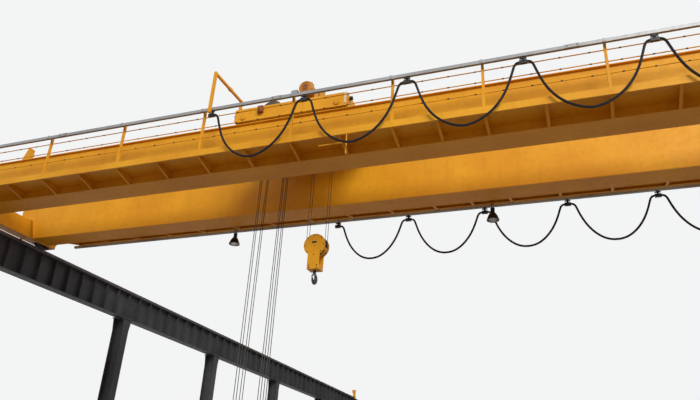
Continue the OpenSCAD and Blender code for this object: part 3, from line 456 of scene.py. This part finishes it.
def smooth_path(points, steps):
    """Catmull-Rom curve through the points, with some steps between neighbours."""
    ends = [points[0]] + list(points) + [points[-1]]
    path = []
    for i in range(1, len(ends) - 2):
        a, b, c, d = ends[i - 1:i + 3]
        for s in range(steps):
            t = s / steps
            path.append(0.5 * (2 * b + (c - a) * t + (2 * a - 5 * b + 4 * c - d) * t * t
                               + (3 * b - 3 * c + d - a) * t ** 3))
    path.append(points[-1])
    return path


# Cables of the two festoons: each loop hangs between two clamps and leaves both of them level.
# Half a loop is given from its clamp to its lowest point, in millimetres, and up to BEND_X it keeps its bend.
NEAR_HALF = [(0, 0), (20, 0), (52, -12), (80, -38), (102, -75), (122, -130), (150, -220), (190, -340),
             (245, -490), (320, -650), (415, -800), (530, -935), (670, -1050), (820, -1135), (950, -1180),
             (1065, -1195)]
FAR_HALF = [(0, 0), (20, 0), (52, -12), (78, -36), (98, -70), (116, -118), (142, -195), (180, -300),
            (232, -420), (298, -545), (380, -665), (478, -775), (590, -865), (700, -920), (800, -945),
            (880, -950)]
BEND_X = 122
STRANDS = 6
STRAND_R = 0.0082
CORE_R = 0.0088
BUNDLE_R = 0.0165
CABLE_D = 0.05
TIE_HALF = 0.011
TIES = (0.16, 0.32, 0.5, 0.68, 0.84)


def loop_route(half_route, width, start):
    """Points of one loop, from its left clamp to its right one."""
    low = half_route[-1][0]
    stretch = (width * 500 - BEND_X) / (low - BEND_X)
    half = [(x if x < BEND_X else BEND_X + (x - BEND_X) * stretch, z) for x, z in half_route]
    whole = half + [(width * 1000 - x, z) for x, z in reversed(half[:-1])]
    return [start + Vector((x / 1000, 0, z / 1000)) for x, z in whole]


def cable_bundle(name, points, across):
    """A pack of sheathed cables with ties along a flat route; returns it with its path."""
    path = smooth_path(points, 3)
    tangents = directions(path)
    offsets = [(0.0, 0.0, CORE_R)]
    for i in range(STRANDS):
        a = 2 * math.pi * (i + 0.5) / STRANDS
        offsets.append((BUNDLE_R * math.cos(a), BUNDLE_R * math.sin(a), STRAND_R))
    shape = Shape()
    for u_off, w_off, r in offsets:
        strand = [p + across.cross(t).normalized() * u_off + across * w_off for p, t in zip(path, tangents)]
        shape.tube(strand, r, 8, across)
    for share in TIES:
        i = round(share * (len(path) - 1))
        shape.rod(path[i] - tangents[i] * TIE_HALF, path[i] + tangents[i] * TIE_HALF, CABLE_D / 2)
    return shape.made(name, None, cable_sheath), path


def hanging_loop(name, half_route, tow, pitch, side, track_z, k):
    """One loop between carrier k and the next clamp, stretched to the gap between them."""
    start = Vector((tow + (k - 1) * pitch + SADDLE_HALF, BRIDGE_Y + side * TRACK_Y, track_z - SADDLE_DROP))
    points = loop_route(half_route, pitch - 2 * SADDLE_HALF, start)
    loop, path = cable_bundle(name, points, Vector((0, 1, 0)))
    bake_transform(loop)
    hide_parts("festoon_loops_%d" % k)


for k in range(1, FESTOON_STEPS + 1):
    hanging_loop("near_cable_loop_%d" % k, NEAR_HALF, NEAR_TOW, NEAR_PITCH, -1, NEAR_TRACK_Z, k)
    hanging_loop("far_cable_loop_%d" % k, FAR_HALF, FAR_TOW, FAR_PITCH, 1, FAR_TRACK_Z, k)


# Hoist ropes
ROPE_STRANDS = 6


def rope_fall(shape, low, high, diameter):
    """Six strands wound around a straight line."""
    low, high = Vector(low), Vector(high)
    length = (high - low).length
    lay = diameter * 9
    steps = max(2, round(length / lay * 6))
    along = (high - low) / length
    side, other = sideways(along)
    strand_r = diameter * 0.185
    ring_r = diameter / 2 - strand_r
    for s in range(ROPE_STRANDS):
        path = []
        for i in range(steps + 1):
            up = length * i / steps
            a = 2 * math.pi * (up / lay + s / ROPE_STRANDS)
            path.append(low + along * up + side * (ring_r * math.cos(a)) + other * (ring_r * math.sin(a)))
        shape.tube(path, strand_r, 5, side)


def hoist_ropes(hoist, falls, diameter):
    """The falls of one hoist, each between its given low and high ends."""
    shape = Shape()
    for low, high in falls:
        rope_fall(shape, low, high, diameter)
    ropes = shape.made(hoist + "_rope_falls", None, rope_steel)
    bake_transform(ropes)
    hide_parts(hoist + "_ropes")


main_falls = []
aux_falls = []
for s in SIDES:
    left, right = MAIN_X - MAIN_R, MAIN_X + MAIN_R
    outer, middle, inner = (BRIDGE_Y + s * f * MAIN_SHEAVE_PITCH for f in (1.5, 1.0, 0.5))
    main_falls.append(((left, outer, MAIN_AXLE_Z), (left, outer, MAIN_DRUM_Z)))
    main_falls.append(((left, inner, MAIN_AXLE_Z), (left, middle, UPPER_AXLE_Z)))
    main_falls.append(((right, outer, MAIN_AXLE_Z), (right, middle, UPPER_AXLE_Z)))
    main_falls.append(((right, inner, MAIN_AXLE_Z), (right, inner, BALANCE_Z)))
    left, right = AUX_X - AUX_R, AUX_X + AUX_R
    y = BRIDGE_Y + s * AUX_SHEAVE_PITCH / 2
    aux_falls.append(((left, y, AUX_AXLE_Z), (left, y, AUX_DRUM_Z)))
    aux_falls.append(((right, y, AUX_AXLE_Z), (right, y, BALANCE_Z)))
hoist_ropes("main", main_falls, MAIN_ROPE_D)
hoist_ropes("aux", aux_falls, AUX_ROPE_D)


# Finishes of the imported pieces
FINISHES = {
    "crane_yellow_paint": crane_paint,
    "runway_grey_paint": runway_paint,
    "worn_steel": rail_steel,
    "dark_steel": dark_steel,
    "track_zinc": track_zinc,
    "motor_paint": motor_paint,
    "lamp_black": lamp_paint,
    "bar_copper": bar_cover,
    "wire_rope": rope_steel,
    "cable_black": cable_sheath,
}
SLOT_OF = {part["node"]: part["material_slot"] for part in frame["record"]["subparts"]}
for name, obj in nodes.items():
    obj.data.materials.clear()
    obj.data.materials.append(FINISHES[SLOT_OF[name]])
    obj.data.shade_smooth()
    obj.data.set_sharp_from_angle(angle=math.radians(28))
for name in ("main_drum", "aux_drum"):
    nodes[name].data.materials[0] = drum_steel


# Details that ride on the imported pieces

def rail_clips():
    """Clips that hold the crane rails and the trolley rails down, in pairs along both sides."""
    pitch = 0.6
    clip_t = 0.018
    clips = Shape()
    for side, i, edge in product(SIDES, range(-29, 30), SIDES):
        x = side * SPAN / 2 + edge * 0.088
        y = i * pitch + pitch / 2
        clips.block((x, y, BEAM_TOP + clip_t / 2), (0.062, 0.075, clip_t))
        clips.block((x - edge * 0.026, y, BEAM_TOP + clip_t + 0.002), (0.016, 0.06, 0.012))
        clips.bolt((x + edge * 0.008, y, BEAM_TOP + clip_t), UP, 0.026, 0.018)
    clips.made("crane_rail_clips", "runway", dark_steel)
    clip_t = 0.016
    clips = Shape()
    for side, i, edge in product(SIDES, range(-15, 16), SIDES):
        y = BRIDGE_Y + side * GAUGE / 2 + edge * 0.072
        clips.block((i * pitch, y, GIRDER_TOP + clip_t / 2), (0.07, 0.056, clip_t))
        clips.bolt((i * pitch, y + edge * 0.006, GIRDER_TOP + clip_t), UP, 0.022, 0.015)
    clips.made("trolley_rail_clips", "bridge", dark_steel)


def column_fastenings():
    """Anchor bolts through the base plates, and bolts through the cap plates into the beams."""
    cap_plate_t = 0.035
    plate_washer_t = 0.012
    bolts = Shape()
    for side, i, u, v in product(SIDES, range(COLUMNS), SIDES, SIDES):
        x, y = side * SPAN / 2, BAY_L * (i - (COLUMNS - 1) / 2)
        at = Vector((x + u * 0.34, y + v * 0.21, BASE_T))
        bolts.block(at + Vector((0, 0, plate_washer_t / 2)), (0.09, 0.09, plate_washer_t))
        bolts.bolt(at + Vector((0, 0, plate_washer_t)), UP, 0.046, 0.03)
        bolts.rod(at, at + Vector((0, 0, 0.085)), 0.015)
        cap_x, cap_y = x + u * 0.13, y + v * 0.11
        bolts.bolt((cap_x, cap_y, BEAM_BOTTOM - cap_plate_t), DOWN, 0.036, 0.022)
        bolts.bolt((cap_x, cap_y, BEAM_BOTTOM + BEAM_FLANGE_T), UP, 0.036, 0.028)
    bolts.made("column_bolts", "runway", dark_steel)


def beam_splices():
    """Bolted splice plates on the webs of the runway beams, beside the five inner columns."""
    splice_t = 0.010
    middle = (BEAM_TOP + BEAM_BOTTOM) / 2
    plates = Shape()
    bolts = Shape()
    for side, i, face in product(SIDES, range(-2, 3), SIDES):
        web = side * SPAN / 2 + face * BEAM_WEB_T / 2
        y = BAY_L * i + 0.3
        plates.block((web + face * splice_t / 2, y, middle), (splice_t, 0.30, 0.62))
        for row, across in product(range(6), (-0.105, -0.045, 0.045, 0.105)):
            bolts.bolt((web + face * splice_t, y + across, middle - 0.25 + 0.1 * row), (face, 0, 0))
    plates.made("beam_splice_plates", "runway", runway_paint)
    bolts.made("beam_splice_bolts", "runway", dark_steel)


def weld_beads():
    """Welds along the webs of the girders and of the runway beams, and the girder webs' upright seams."""
    low, high = GIRDER_BOTTOM + GIRDER_FLANGE_T + 0.002, GIRDER_TOP - GIRDER_FLANGE_T - 0.002
    beads = Shape()
    for side, face in product(SIDES, SIDES):
        web = BRIDGE_Y + side * GAUGE / 2 + face * GIRDER_WEB_OUT
        bead_y, seam_y = web + face * 0.003, web + face * 0.0005
        for half, z in ((10.75, low), (11.5, high)):
            beads.rod((-half, bead_y, z), (half, bead_y, z), 0.006, 6)
        for x in (-7.2, 0.4, 7.6):
            beads.rod((x, seam_y, low + 0.002), (x, seam_y, high - 0.002), 0.003, 6)
    beads.made("girder_welds", "bridge", crane_paint)
    low, high = BEAM_BOTTOM + BEAM_FLANGE_T + 0.002, BEAM_TOP - BEAM_FLANGE_T - 0.002
    beads = Shape()
    for side, face, z in product(SIDES, SIDES, (low, high)):
        x = side * SPAN / 2 + face * (BEAM_WEB_T / 2 + 0.003)
        beads.rod((x, -18.1, z), (x, 18.1, z), 0.006, 6)
    beads.made("beam_welds", "runway", runway_paint)


def railing_fittings(side, name):
    """Ferrules, feet and heads of the posts, and small clips along the thin rails."""
    y = BRIDGE_Y + side * POST_Y
    foot_t = 0.012
    clip_pitch = 0.52
    thin_rail_z = [DECK_Z + share * POST_H for share in THIN_RAILS]
    ferrules = Shape()
    clips = Shape()
    for x in POSTS:
        for z in thin_rail_z:
            ferrules.rod((x - 0.034, y, z), (x + 0.034, y, z), 0.0165)
        ferrules.block((x, y - side * 0.004, DECK_Z + foot_t / 2), (0.10, 0.075, foot_t))
        for u in SIDES:
            clips.bolt((x + u * 0.038, y - side * 0.005, DECK_Z + foot_t), UP, 0.014, 0.009)
        ferrules.block((x, y, DECK_Z + POST_H + 0.001), (0.054, 0.054, 0.004))
    for i in range(-19, 20):
        x = i * clip_pitch
        if min(abs(x - post) for post in POSTS) > 0.12:
            for z in thin_rail_z:
                clips.rod((x - 0.018, y, z), (x + 0.018, y, z), 0.0145, 12)
    ferrules.made(name + "_railing_ferrules", "bridge", crane_paint)
    clips.made(name + "_railing_clips", "bridge", dark_steel)


def bracket_flanges(side, name):
    """Sloping flanges under the walkway brackets, from the web's foot to the walkway's edge."""
    inner_y, inner_z = BRIDGE_Y + side * (GAUGE / 2 + 0.3), GIRDER_BOTTOM + GIRDER_FLANGE_T
    outer_y, outer_z = BRIDGE_Y + side * (EDGE_Y - DECK_T), DECK_Z - DECK_EDGE_H
    middles = [(a + b) / 2 for a, b in zip(POSTS, POSTS[1:])]
    flats = Shape()
    for x in POSTS + middles:
        a = Vector((x, inner_y, inner_z))
        b = Vector((x, outer_y, outer_z))
        flats.block((a + b) / 2, (0.06, (b - a).length, 0.008), leaning((b - a).normalized()))
    flats.made(name + "_bracket_flanges", "bridge", crane_paint)


def track_fittings():
    """Splices, hanger clips and bolts of the two festoon tracks."""
    zinc = Shape()
    dark = Shape()
    for side, z in ((-1, NEAR_TRACK_Z), (1, FAR_TRACK_Z)):
        y = BRIDGE_Y + side * TRACK_Y
        top = z + TRACK_H
        for x in POSTS:
            zinc.block((x, y, top + 0.004), (0.05, 0.076, 0.008))
            for u in SIDES:
                zinc.block((x, y + u * 0.034, z + 0.042), (0.05, 0.008, 0.06))
            dark.bolt((x, y - side * 0.038, z + 0.045), (0, -side, 0), 0.016, 0.01)
            dark.bolt((x, y, top + 0.008), UP, 0.018, 0.012)
        for x in (-7.4, -1.6, 4.4):
            zinc.block((x, y, top + 0.003), (0.26, 0.072, 0.006))
            for u in SIDES:
                zinc.block((x, y + u * 0.033, z + TRACK_H / 2 + 0.003), (0.26, 0.006, TRACK_H))
                for v in SIDES:
                    dark.bolt((x + v * 0.09, y + u * 0.036, z + 0.04), (0, u, 0), 0.014, 0.008)
    zinc.made("track_fittings", "bridge", track_zinc)
    dark.made("track_bolts", "bridge", dark_steel)


def carrier_fittings():
    """Clamp bolts and rubber bumpers of the cable carriers."""
    for k in range(1, FESTOON_STEPS + 1):
        bolts = Shape()
        bumpers = Shape()
        for x, side, z in ((NEAR_TOW + (k - 1) * NEAR_PITCH, -1, NEAR_TRACK_Z),
                           (FAR_TOW + (k - 1) * FAR_PITCH, 1, FAR_TRACK_Z)):
            y = BRIDGE_Y + side * TRACK_Y
            bolt_z, bumper_z = z - SADDLE_DROP + 0.020, z - 0.035
            for u in SIDES:
                for v in SIDES:
                    bolts.bolt((x + u * 0.016, y + v * 0.030, bolt_z), (0, v, 0), 0.013, 0.008)
                bumpers.rod((x + u * 0.020, y, bumper_z), (x + u * 0.064, y, bumper_z), 0.016)
            bolts.block((x, y, bumper_z), (0.05, 0.05, 0.036))
        bolts.made("carrier_bolts_%d" % k, "festoon_%d" % k, dark_steel)
        bumpers.made("carrier_bumpers_%d" % k, "festoon_%d" % k, buffer_rubber)


def lamps():
    """Bell shades with a bulb inside, on twin straps under the far walkway."""
    strap_l = 0.30
    neck_top, neck_bottom, mouth_down = 0.245, 0.345, 0.560
    shade_profile = [(0.225, 0.044), (0.205, 0.050), (0.160, 0.084), (0.095, 0.120), (0.030, 0.142),
                     (0.012, 0.146), (0.0, 0.146), (0.0, 0.142), (0.030, 0.138)]
    reflector_profile = [(0.012, 0.1395), (0.030, 0.137), (0.095, 0.115), (0.160, 0.079), (0.203, 0.044),
                         (0.208, 0.0)]
    bulb_profile = [(0.200, 0.020), (0.172, 0.024), (0.138, 0.046), (0.106, 0.052), (0.080, 0.040),
                    (0.068, 0.018), (0.066, 0.0)]
    y = BRIDGE_Y + EDGE_Y - 0.18
    top = DECK_Z - DECK_T
    shades = Shape()
    reflectors = Shape()
    bulbs = Shape()
    for x in LAMPS:
        for u in SIDES:
            shades.block((x + u * 0.030, y, top - strap_l / 2), (0.006, 0.026, strap_l))
            shades.block((x + u * 0.045, y, top - 0.003), (0.05, 0.03, 0.006))
            shades.bolt((x + u * 0.050, y, top - 0.006), DOWN, 0.014, 0.008)
        shades.block((x, y, top - strap_l / 2), (0.066, 0.020, 0.014))
        shades.rod((x, y, top - neck_bottom), (x, y, top - neck_top), 0.047, 32)
        for i in range(5):
            fin_z = top - neck_top - 0.012 - i * 0.017
            shades.rod((x, y, fin_z - 0.005), (x, y, fin_z), 0.051, 32)
        mouth = Vector((x, y, top - mouth_down))
        shades.lathe(mouth, UP, shade_profile)
        reflectors.lathe(mouth, UP, reflector_profile)
        bulbs.lathe(mouth, UP, bulb_profile, 32)
    pieces = [shades.made("lamp_shades", "bridge", lamp_paint),
              reflectors.made("lamp_reflectors", "bridge", bright_steel),
              bulbs.made("lamp_bulbs", "bridge", bulb_glass("bulb_glass"))]
    for piece in pieces:
        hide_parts("bridge_lamps")


def block_bolts(name, body, x, z, radius, half_y):
    """Cheek bolts and axle keepers of a hook block."""
    keeper_t = 0.012
    bolts = Shape()
    for s in SIDES:
        face = BRIDGE_Y + s * half_y
        for a in range(0, 360, 45):
            r = radius - 0.028
            at = (x + r * math.cos(math.radians(a)), face, z + r * math.sin(math.radians(a)))
            bolts.bolt(at, (0, s, 0), 0.016, 0.01)
        bolts.block((x, face + s * keeper_t / 2, z + 0.06), (0.11, keeper_t, 0.034))
        for u in SIDES:
            bolts.bolt((x + u * 0.04, face + s * keeper_t, z + 0.06), (0, s, 0), 0.014, 0.009)
            for v in (0.03, 0.085):
                bolts.bolt((x + u * radius * 0.36, face, z - 0.56 + v), (0, s, 0), 0.018, 0.011)
    bolts.made(name + "_block_bolts", body, dark_steel)


def throat_latch(name, hook, x, z, size):
    """Sprung latch across a hook's throat. z is the middle of the hook's bowl, size its radius."""
    centre = Vector((x, BRIDGE_Y, z))
    root = centre + Vector((0, size * 0.30, size * 1.02))
    tip = centre + Vector((0, -size * 1.02, size * 0.62))
    along = (tip - root).normalized()
    length = (tip - root).length
    turn = leaning(along)
    middle = (root + tip) / 2
    latch = Shape()
    for u in SIDES:
        latch.block(middle + Vector((u * size * 0.30, 0, 0)), (0.005, length, size * 0.26), turn)
    plate_at = middle - along * size * 0.1 + Vector((0, 0, size * 0.12))
    latch.block(plate_at, (size * 0.60, length * 0.7, 0.005), turn)
    pin_half = Vector((size * 0.42, 0, 0))
    latch.rod(root - pin_half, root + pin_half, size * 0.07, 12)
    latch.made(name + "_hook_latch", hook, bright_steel)


def hook_fittings():
    """Bolts and throat latches of the two hook blocks."""
    for name, x, z, radius, half_y, drop, size in (
            ("main", MAIN_X, MAIN_AXLE_Z, 0.32, 0.246, 0.58, 0.125),
            ("aux", AUX_X, AUX_AXLE_Z, 0.255, 0.126, 0.57, 0.072)):
        block_bolts(name, name + "_block", x, z, radius, half_y)
        throat_latch(name, name + "_hook", x, z - drop - size * 2.3, size)


def motor_fittings():
    """Fan grilles of the motors, with the ring in the middle of each."""
    travel_x = SPAN / 2 - 0.78
    travel_y, travel_z = BRIDGE_Y - WHEELBASE / 2, BRIDGE_AXLE_Z + 0.06
    trolley_motor = (TROLLEY_X + WHEEL_OFF, BRIDGE_Y - 0.905, TROLLEY_AXLE_Z + 0.35)
    for name, body, at, axis, radius in (
            ("main_hoist", "trolley", (MAIN_MOTOR_X, BRIDGE_Y - 0.12, MAIN_MOTOR_Z), (0, -1, 0), 0.165),
            ("aux_hoist", "trolley", (AUX_MOTOR_X, BRIDGE_Y - 1.235, AUX_MOTOR_Z), (0, -1, 0), 0.165),
            ("trolley_travel", "trolley", trolley_motor, (0, -1, 0), 0.075),
            ("left_travel", "bridge", (-travel_x, travel_y, travel_z), (1, 0, 0), 0.095),
            ("right_travel", "bridge", (travel_x, travel_y, travel_z), (-1, 0, 0), 0.095)):
        at, axis = Vector(at), Vector(axis)
        grille = Shape()
        for share in (0.5, 0.62, 0.74, 0.86):
            profile = [(0.0, share), (0.006, share + 0.015), (0.006, share + 0.045), (0.0, share + 0.06)]
            grille.lathe(at, axis, [(along, radius * r) for along, r in profile], 32)
        grille.made(name + "_fan_grille", body, motor_paint)
        centre = Shape()
        profile = [(0.0, 0.0), (0.006, 0.0), (0.006, 0.18), (0.014, 0.22), (0.014, 0.40), (0.004, 0.44),
                   (0.0, 0.44)]
        centre.lathe(at - axis * 0.002, axis, [(along, radius * r) for along, r in profile], 32)
        centre.made(name + "_fan_centre", body, box_paint)


def hoist_motor_casing():
    """Finned casing, fan cowl and terminal box round the auxiliary hoist's motor."""
    start_y, box_y = BRIDGE_Y - 0.86, BRIDGE_Y - 1.01
    between_fins, fin_r, fin_t, fin_pitch = 0.148, 0.165, 0.012, 0.030
    profile = [(0.0, 0.125), (0.0, 0.158)]
    for i in range(9):
        fin = 0.012 + i * fin_pitch
        profile += [(fin, between_fins), (fin, fin_r), (fin + fin_t, fin_r), (fin + fin_t, between_fins)]
    profile += [(0.285, between_fins), (0.285, 0.166), (0.362, 0.166), (0.372, 0.158), (0.374, 0.150),
                (0.374, 0.0)]
    casing = Shape()
    casing.lathe((AUX_MOTOR_X, start_y, AUX_MOTOR_Z), (0, -1, 0), profile)
    casing.block((AUX_MOTOR_X, box_y, AUX_MOTOR_Z + 0.185), (0.15, 0.13, 0.08))
    casing.block((AUX_MOTOR_X, box_y, AUX_MOTOR_Z + 0.228), (0.16, 0.14, 0.008))
    gland_z = AUX_MOTOR_Z + 0.173
    casing.rod((AUX_MOTOR_X + 0.07, box_y, gland_z), (AUX_MOTOR_X + 0.11, box_y, gland_z), 0.016)
    casing.made("aux_hoist_motor_casing", "trolley", motor_paint)


def hanging_rod():
    """Short rod with a crossbar under the near walkway's edge."""
    x, y, top = 0.02, BRIDGE_Y - EDGE_Y + 0.019, DECK_Z - DECK_EDGE_H
    radius = 0.014
    bar_z = top - 0.189
    rods = Shape()
    rods.rod((x, y, top - 0.45), (x, y, top + 0.003), radius, 20)
    rods.rod((x - 0.6, y, bar_z), (x, y, bar_z), radius, 20)
    rods.made("walkway_hanging_rod", "bridge", crane_paint)


def bearing_caps():
    """Covers on the wheel bearings, the drum bearings and the gear units."""
    caps = Shape()
    for x, y, face in product(SIDES, repeat=3):
        if y > 0 or face == x:
            at = (x * SPAN / 2 + face * 0.2, BRIDGE_Y + y * WHEELBASE / 2, BRIDGE_AXLE_Z)
            caps.cap(at, (face, 0, 0), 0.088)
    caps.made("bridge_wheel_caps", "bridge", dark_steel)
    caps = Shape()
    for x, y, face in product(SIDES, repeat=3):
        if x < 0 or face == y:
            at = (TROLLEY_X + x * WHEEL_OFF, BRIDGE_Y + y * GAUGE / 2 + face * 0.162, TROLLEY_AXLE_Z)
            caps.cap(at, (0, face, 0), 0.07)
    caps.made("trolley_wheel_caps", "trolley", crane_paint)
    bearing_y, gear_y = 0.655, 0.81
    caps = Shape()
    caps.cap((MAIN_X, BRIDGE_Y - bearing_y, MAIN_DRUM_Z), (0, -1, 0), 0.085)
    caps.cap((AUX_X, BRIDGE_Y + bearing_y, AUX_DRUM_Z), (0, 1, 0), 0.085)
    caps.cap((MAIN_X, BRIDGE_Y + gear_y, MAIN_DRUM_Z), (0, 1, 0), 0.12, 8)
    caps.cap((MAIN_MOTOR_X, BRIDGE_Y + gear_y, MAIN_MOTOR_Z), (0, 1, 0), 0.085)
    caps.cap((TROLLEY_X + WHEEL_OFF, BRIDGE_Y - 0.435, 9.86), (0, 1, 0), 0.06)
    caps.made("trolley_bearing_caps", "trolley", dark_steel)


def gear_fittings():
    """Bolted joint flanges and lifting lugs on the two hoist gear units, and their foot bolts."""
    flanges = Shape()
    bolts = Shape()
    for x, y, z, low, high in ((MAIN_X, 0.705, MAIN_DRUM_Z, -0.15, 0.75),
                               (AUX_X, -0.705, AUX_DRUM_Z, -0.15, 0.13)):
        centre = BRIDGE_Y + y
        level = z - 0.07
        flanges.block((x + (low + high) / 2, centre, level), (high - low + 0.03, 0.25, 0.032))
        count = round((high - low) / 0.14)
        for i in range(count + 1):
            bolt_x = x + low + 0.02 + (high - low - 0.04) * i / count
            for face in SIDES:
                bolts.bolt((bolt_x, centre + face * 0.115, level + 0.016), UP, 0.018, 0.012, False)
                bolts.bolt((bolt_x, centre + face * 0.13, FRAME_TOP + 0.03), UP, 0.028, 0.018)
        flanges.block((x, centre, z + 0.155), (0.07, 0.016, 0.05))
    flanges.made("gear_unit_flanges", "trolley", motor_paint)
    bolts.made("gear_unit_bolts", "trolley", dark_steel)


def wound_rope(hoist, x, z, radius, diameter, groove, first, last):
    """Turns of rope that lie in a drum's grooves, outside the falls, and the clamps at their ends."""
    turns = Shape()
    steps = 40
    count = int((last - first) / groove)
    for side in SIDES:
        path = []
        for i in range(count * steps + 1):
            a = math.pi + 2 * math.pi * i / steps * side
            y = BRIDGE_Y + side * (first + groove * i / steps)
            path.append(Vector((x + radius * math.cos(a), y, z + radius * math.sin(a))))
        turns.tube(path, diameter / 2, 6, Vector((0, 1, 0)))
        for u in (0.0, 0.05):
            turns.block((x + radius * 0.96, BRIDGE_Y + side * (last - u), z), (0.07, 0.035, 0.05))
    turns.made(hoist + "_wound_rope", hoist + "_drum", rope_steel)


def buffers():
    """Rubber ends of the buffers on the bridge and on the trolley."""
    ends = Shape()
    for x, y in product(SIDES, SIDES):
        at = Vector((x * SPAN / 2, BRIDGE_Y + y * 2.015, 8.35))
        ends.rod(at, at + Vector((0, y * 0.0865, 0)), 0.067, 32)
    ends.made("bridge_buffer_rubbers", "bridge", buffer_rubber)
    ends = Shape()
    for x, y in product(SIDES, SIDES):
        at = Vector((TROLLEY_X + x * (TROLLEY_HALF + 0.02), BRIDGE_Y + y * GAUGE / 2, FRAME_TOP - 0.09))
        ends.rod(at, at + Vector((x * 0.0615, 0, 0)), 0.047, 32)
    ends.made("trolley_buffer_rubbers", "trolley", buffer_rubber)


def girder_seats():
    """Bolts that hold the girders on the end carriages."""
    bolts = Shape()
    for x, y, face, u in product(SIDES, SIDES, SIDES, (-0.13, -0.05, 0.05, 0.13)):
        at_y = BRIDGE_Y + y * GAUGE / 2 + face * 0.276
        bolts.bolt((x * SPAN / 2 + u, at_y, CARRIAGE_TOP + GIRDER_FLANGE_T), UP, 0.026, 0.017)
    bolts.made("girder_seat_bolts", "bridge", dark_steel)


def bar_fittings():
    """Joint covers on the three conductor bars."""
    covers = Shape()
    for i, bar in product(range(-2, 3), range(3)):
        at = (-SPAN / 2 - BAR_OFF, BAY_L * i + BAY_L / 4, BAR_TOP_Z - BAR_PITCH * bar)
        covers.block(at, (0.034, 0.16, 0.046))
    covers.made("bar_joint_covers", "runway", dark_steel)


def trolley_boxes():
    """A small box, a switch on a stem and a pale end strip on the trolley's near side; the strip is a painted
    highlight of the trolley's lit end.
    """
    face = BRIDGE_Y - GAUGE / 2 - 0.15
    x, z = -2.43, 9.60
    rusty = Shape()
    rusty.block((x, face - 0.040, z), (0.13, 0.08, 0.16))
    rusty.block((x, face - 0.083, z), (0.115, 0.006, 0.145))
    rusty.rod((x, face - 0.035, z - 0.08), (x, face - 0.035, z - 0.125), 0.014)
    rusty.made("trolley_terminal_box", "trolley", box_paint)
    # Thin pale strip at the end of the near side: a painted highlight of the trolley's lit end
    strip = Shape()
    strip.block((-0.352, face - 0.005, 9.565), (0.06, 0.010, 0.27))
    strip.made("trolley_end_painted_highlight", "trolley", painted_highlight)
    x, y = -1.64, BRIDGE_Y - 1.20
    pale = Shape()
    pale.block((x, y, 9.97), (0.15, 0.10, 0.11))
    pale.rod((x, y, FRAME_TOP), (x, y, 9.93), 0.016)
    pale.made("trolley_switch", "trolley", bright_steel)


rail_clips()
column_fastenings()
beam_splices()
weld_beads()
for side, name in ((-1, "near"), (1, "far")):
    railing_fittings(side, name)
    bracket_flanges(side, name)
track_fittings()
carrier_fittings()
lamps()
hook_fittings()
motor_fittings()
hoist_motor_casing()
hanging_rod()
bearing_caps()
gear_fittings()
wound_rope("main", MAIN_X, MAIN_DRUM_Z, MAIN_R, MAIN_ROPE_D, 0.02, 0.18, 0.49)
wound_rope("aux", AUX_X, AUX_DRUM_Z, AUX_R, AUX_ROPE_D, 0.01625, 0.065, 0.48)
buffers()
girder_seats()
bar_fittings()
trolley_boxes()


# Floor and light
FLOOR_HALF = 160
FLOOR_Z = -0.002


def flat_colour(name, seen, lit):
    """Pale to the camera and in reflections, darker where it bounces light."""
    material = bpy.data.materials.new(name)
    material.use_nodes = True
    tree = material.node_tree
    shader = tree.nodes["Principled BSDF"]
    shader.inputs["Roughness"].default_value = 0.95
    path = tree.nodes.new("ShaderNodeLightPath")
    tone = mix(tree, path.outputs["Is Camera Ray"], lit, seen)
    tone = mix(tree, path.outputs["Is Glossy Ray"], tone, seen)
    tree.links.new(tone, shader.inputs["Base Color"])
    return material


floor_mesh = bpy.data.meshes.new("floor")
floor_corners = [(x * FLOOR_HALF, y * FLOOR_HALF, FLOOR_Z) for x, y in ((-1, -1), (1, -1), (1, 1), (-1, 1))]
floor_mesh.from_pydata(floor_corners, [], [(0, 1, 2, 3)])
floor_mesh.materials.append(flat_colour("pale_floor", (0.72, 0.72, 0.71), (0.21, 0.145, 0.11)))
floor = bpy.data.objects.new("floor", floor_mesh)
scene.collection.objects.link(floor)

world = bpy.data.worlds.new("room")
scene.world = world
world.use_nodes = True
tree = world.node_tree
background = tree.nodes["Background"]
path = tree.nodes.new("ShaderNodeLightPath")
direction = tree.nodes.new("ShaderNodeTexCoord")
split = tree.nodes.new("ShaderNodeSeparateXYZ")
tree.links.new(direction.outputs["Generated"], split.inputs["Vector"])
sky = mix(tree, ramp(tree, split.outputs["Z"], -0.1, 0.6), (0.20, 0.17, 0.15), (0.80, 0.82, 0.86))
seen = mix(tree, path.outputs["Is Camera Ray"], sky, (0.90, 0.905, 0.91))
tree.links.new(seen, background.inputs["Color"])
background.inputs["Strength"].default_value = 1.0


def lamp_light(name, at, aim, size, power, colour):
    """A round soft lamp that shines from a place towards a point."""
    data = bpy.data.lights.new(name, "AREA")
    data.shape = "DISK"
    data.size = size
    data.energy = power
    data.color = colour
    light = bpy.data.objects.new(name, data)
    scene.collection.objects.link(light)
    light.location = at
    light.rotation_euler = (Vector(aim) - Vector(at)).to_track_quat("-Z", "Y").to_euler()


lamp_light("key", (52, -109, 72), (0, 0, 5), 42, 84000, (1.0, 0.97, 0.91))
lamp_light("side", (26, -34, 24), (4, -11, 8), 12, 3600, (1.0, 0.97, 0.90))
lamp_light("back", (-28, 118, 72), (0, 0, 5), 50, 42000, (0.96, 0.98, 1.0))


scene.view_settings.view_transform = "Standard"
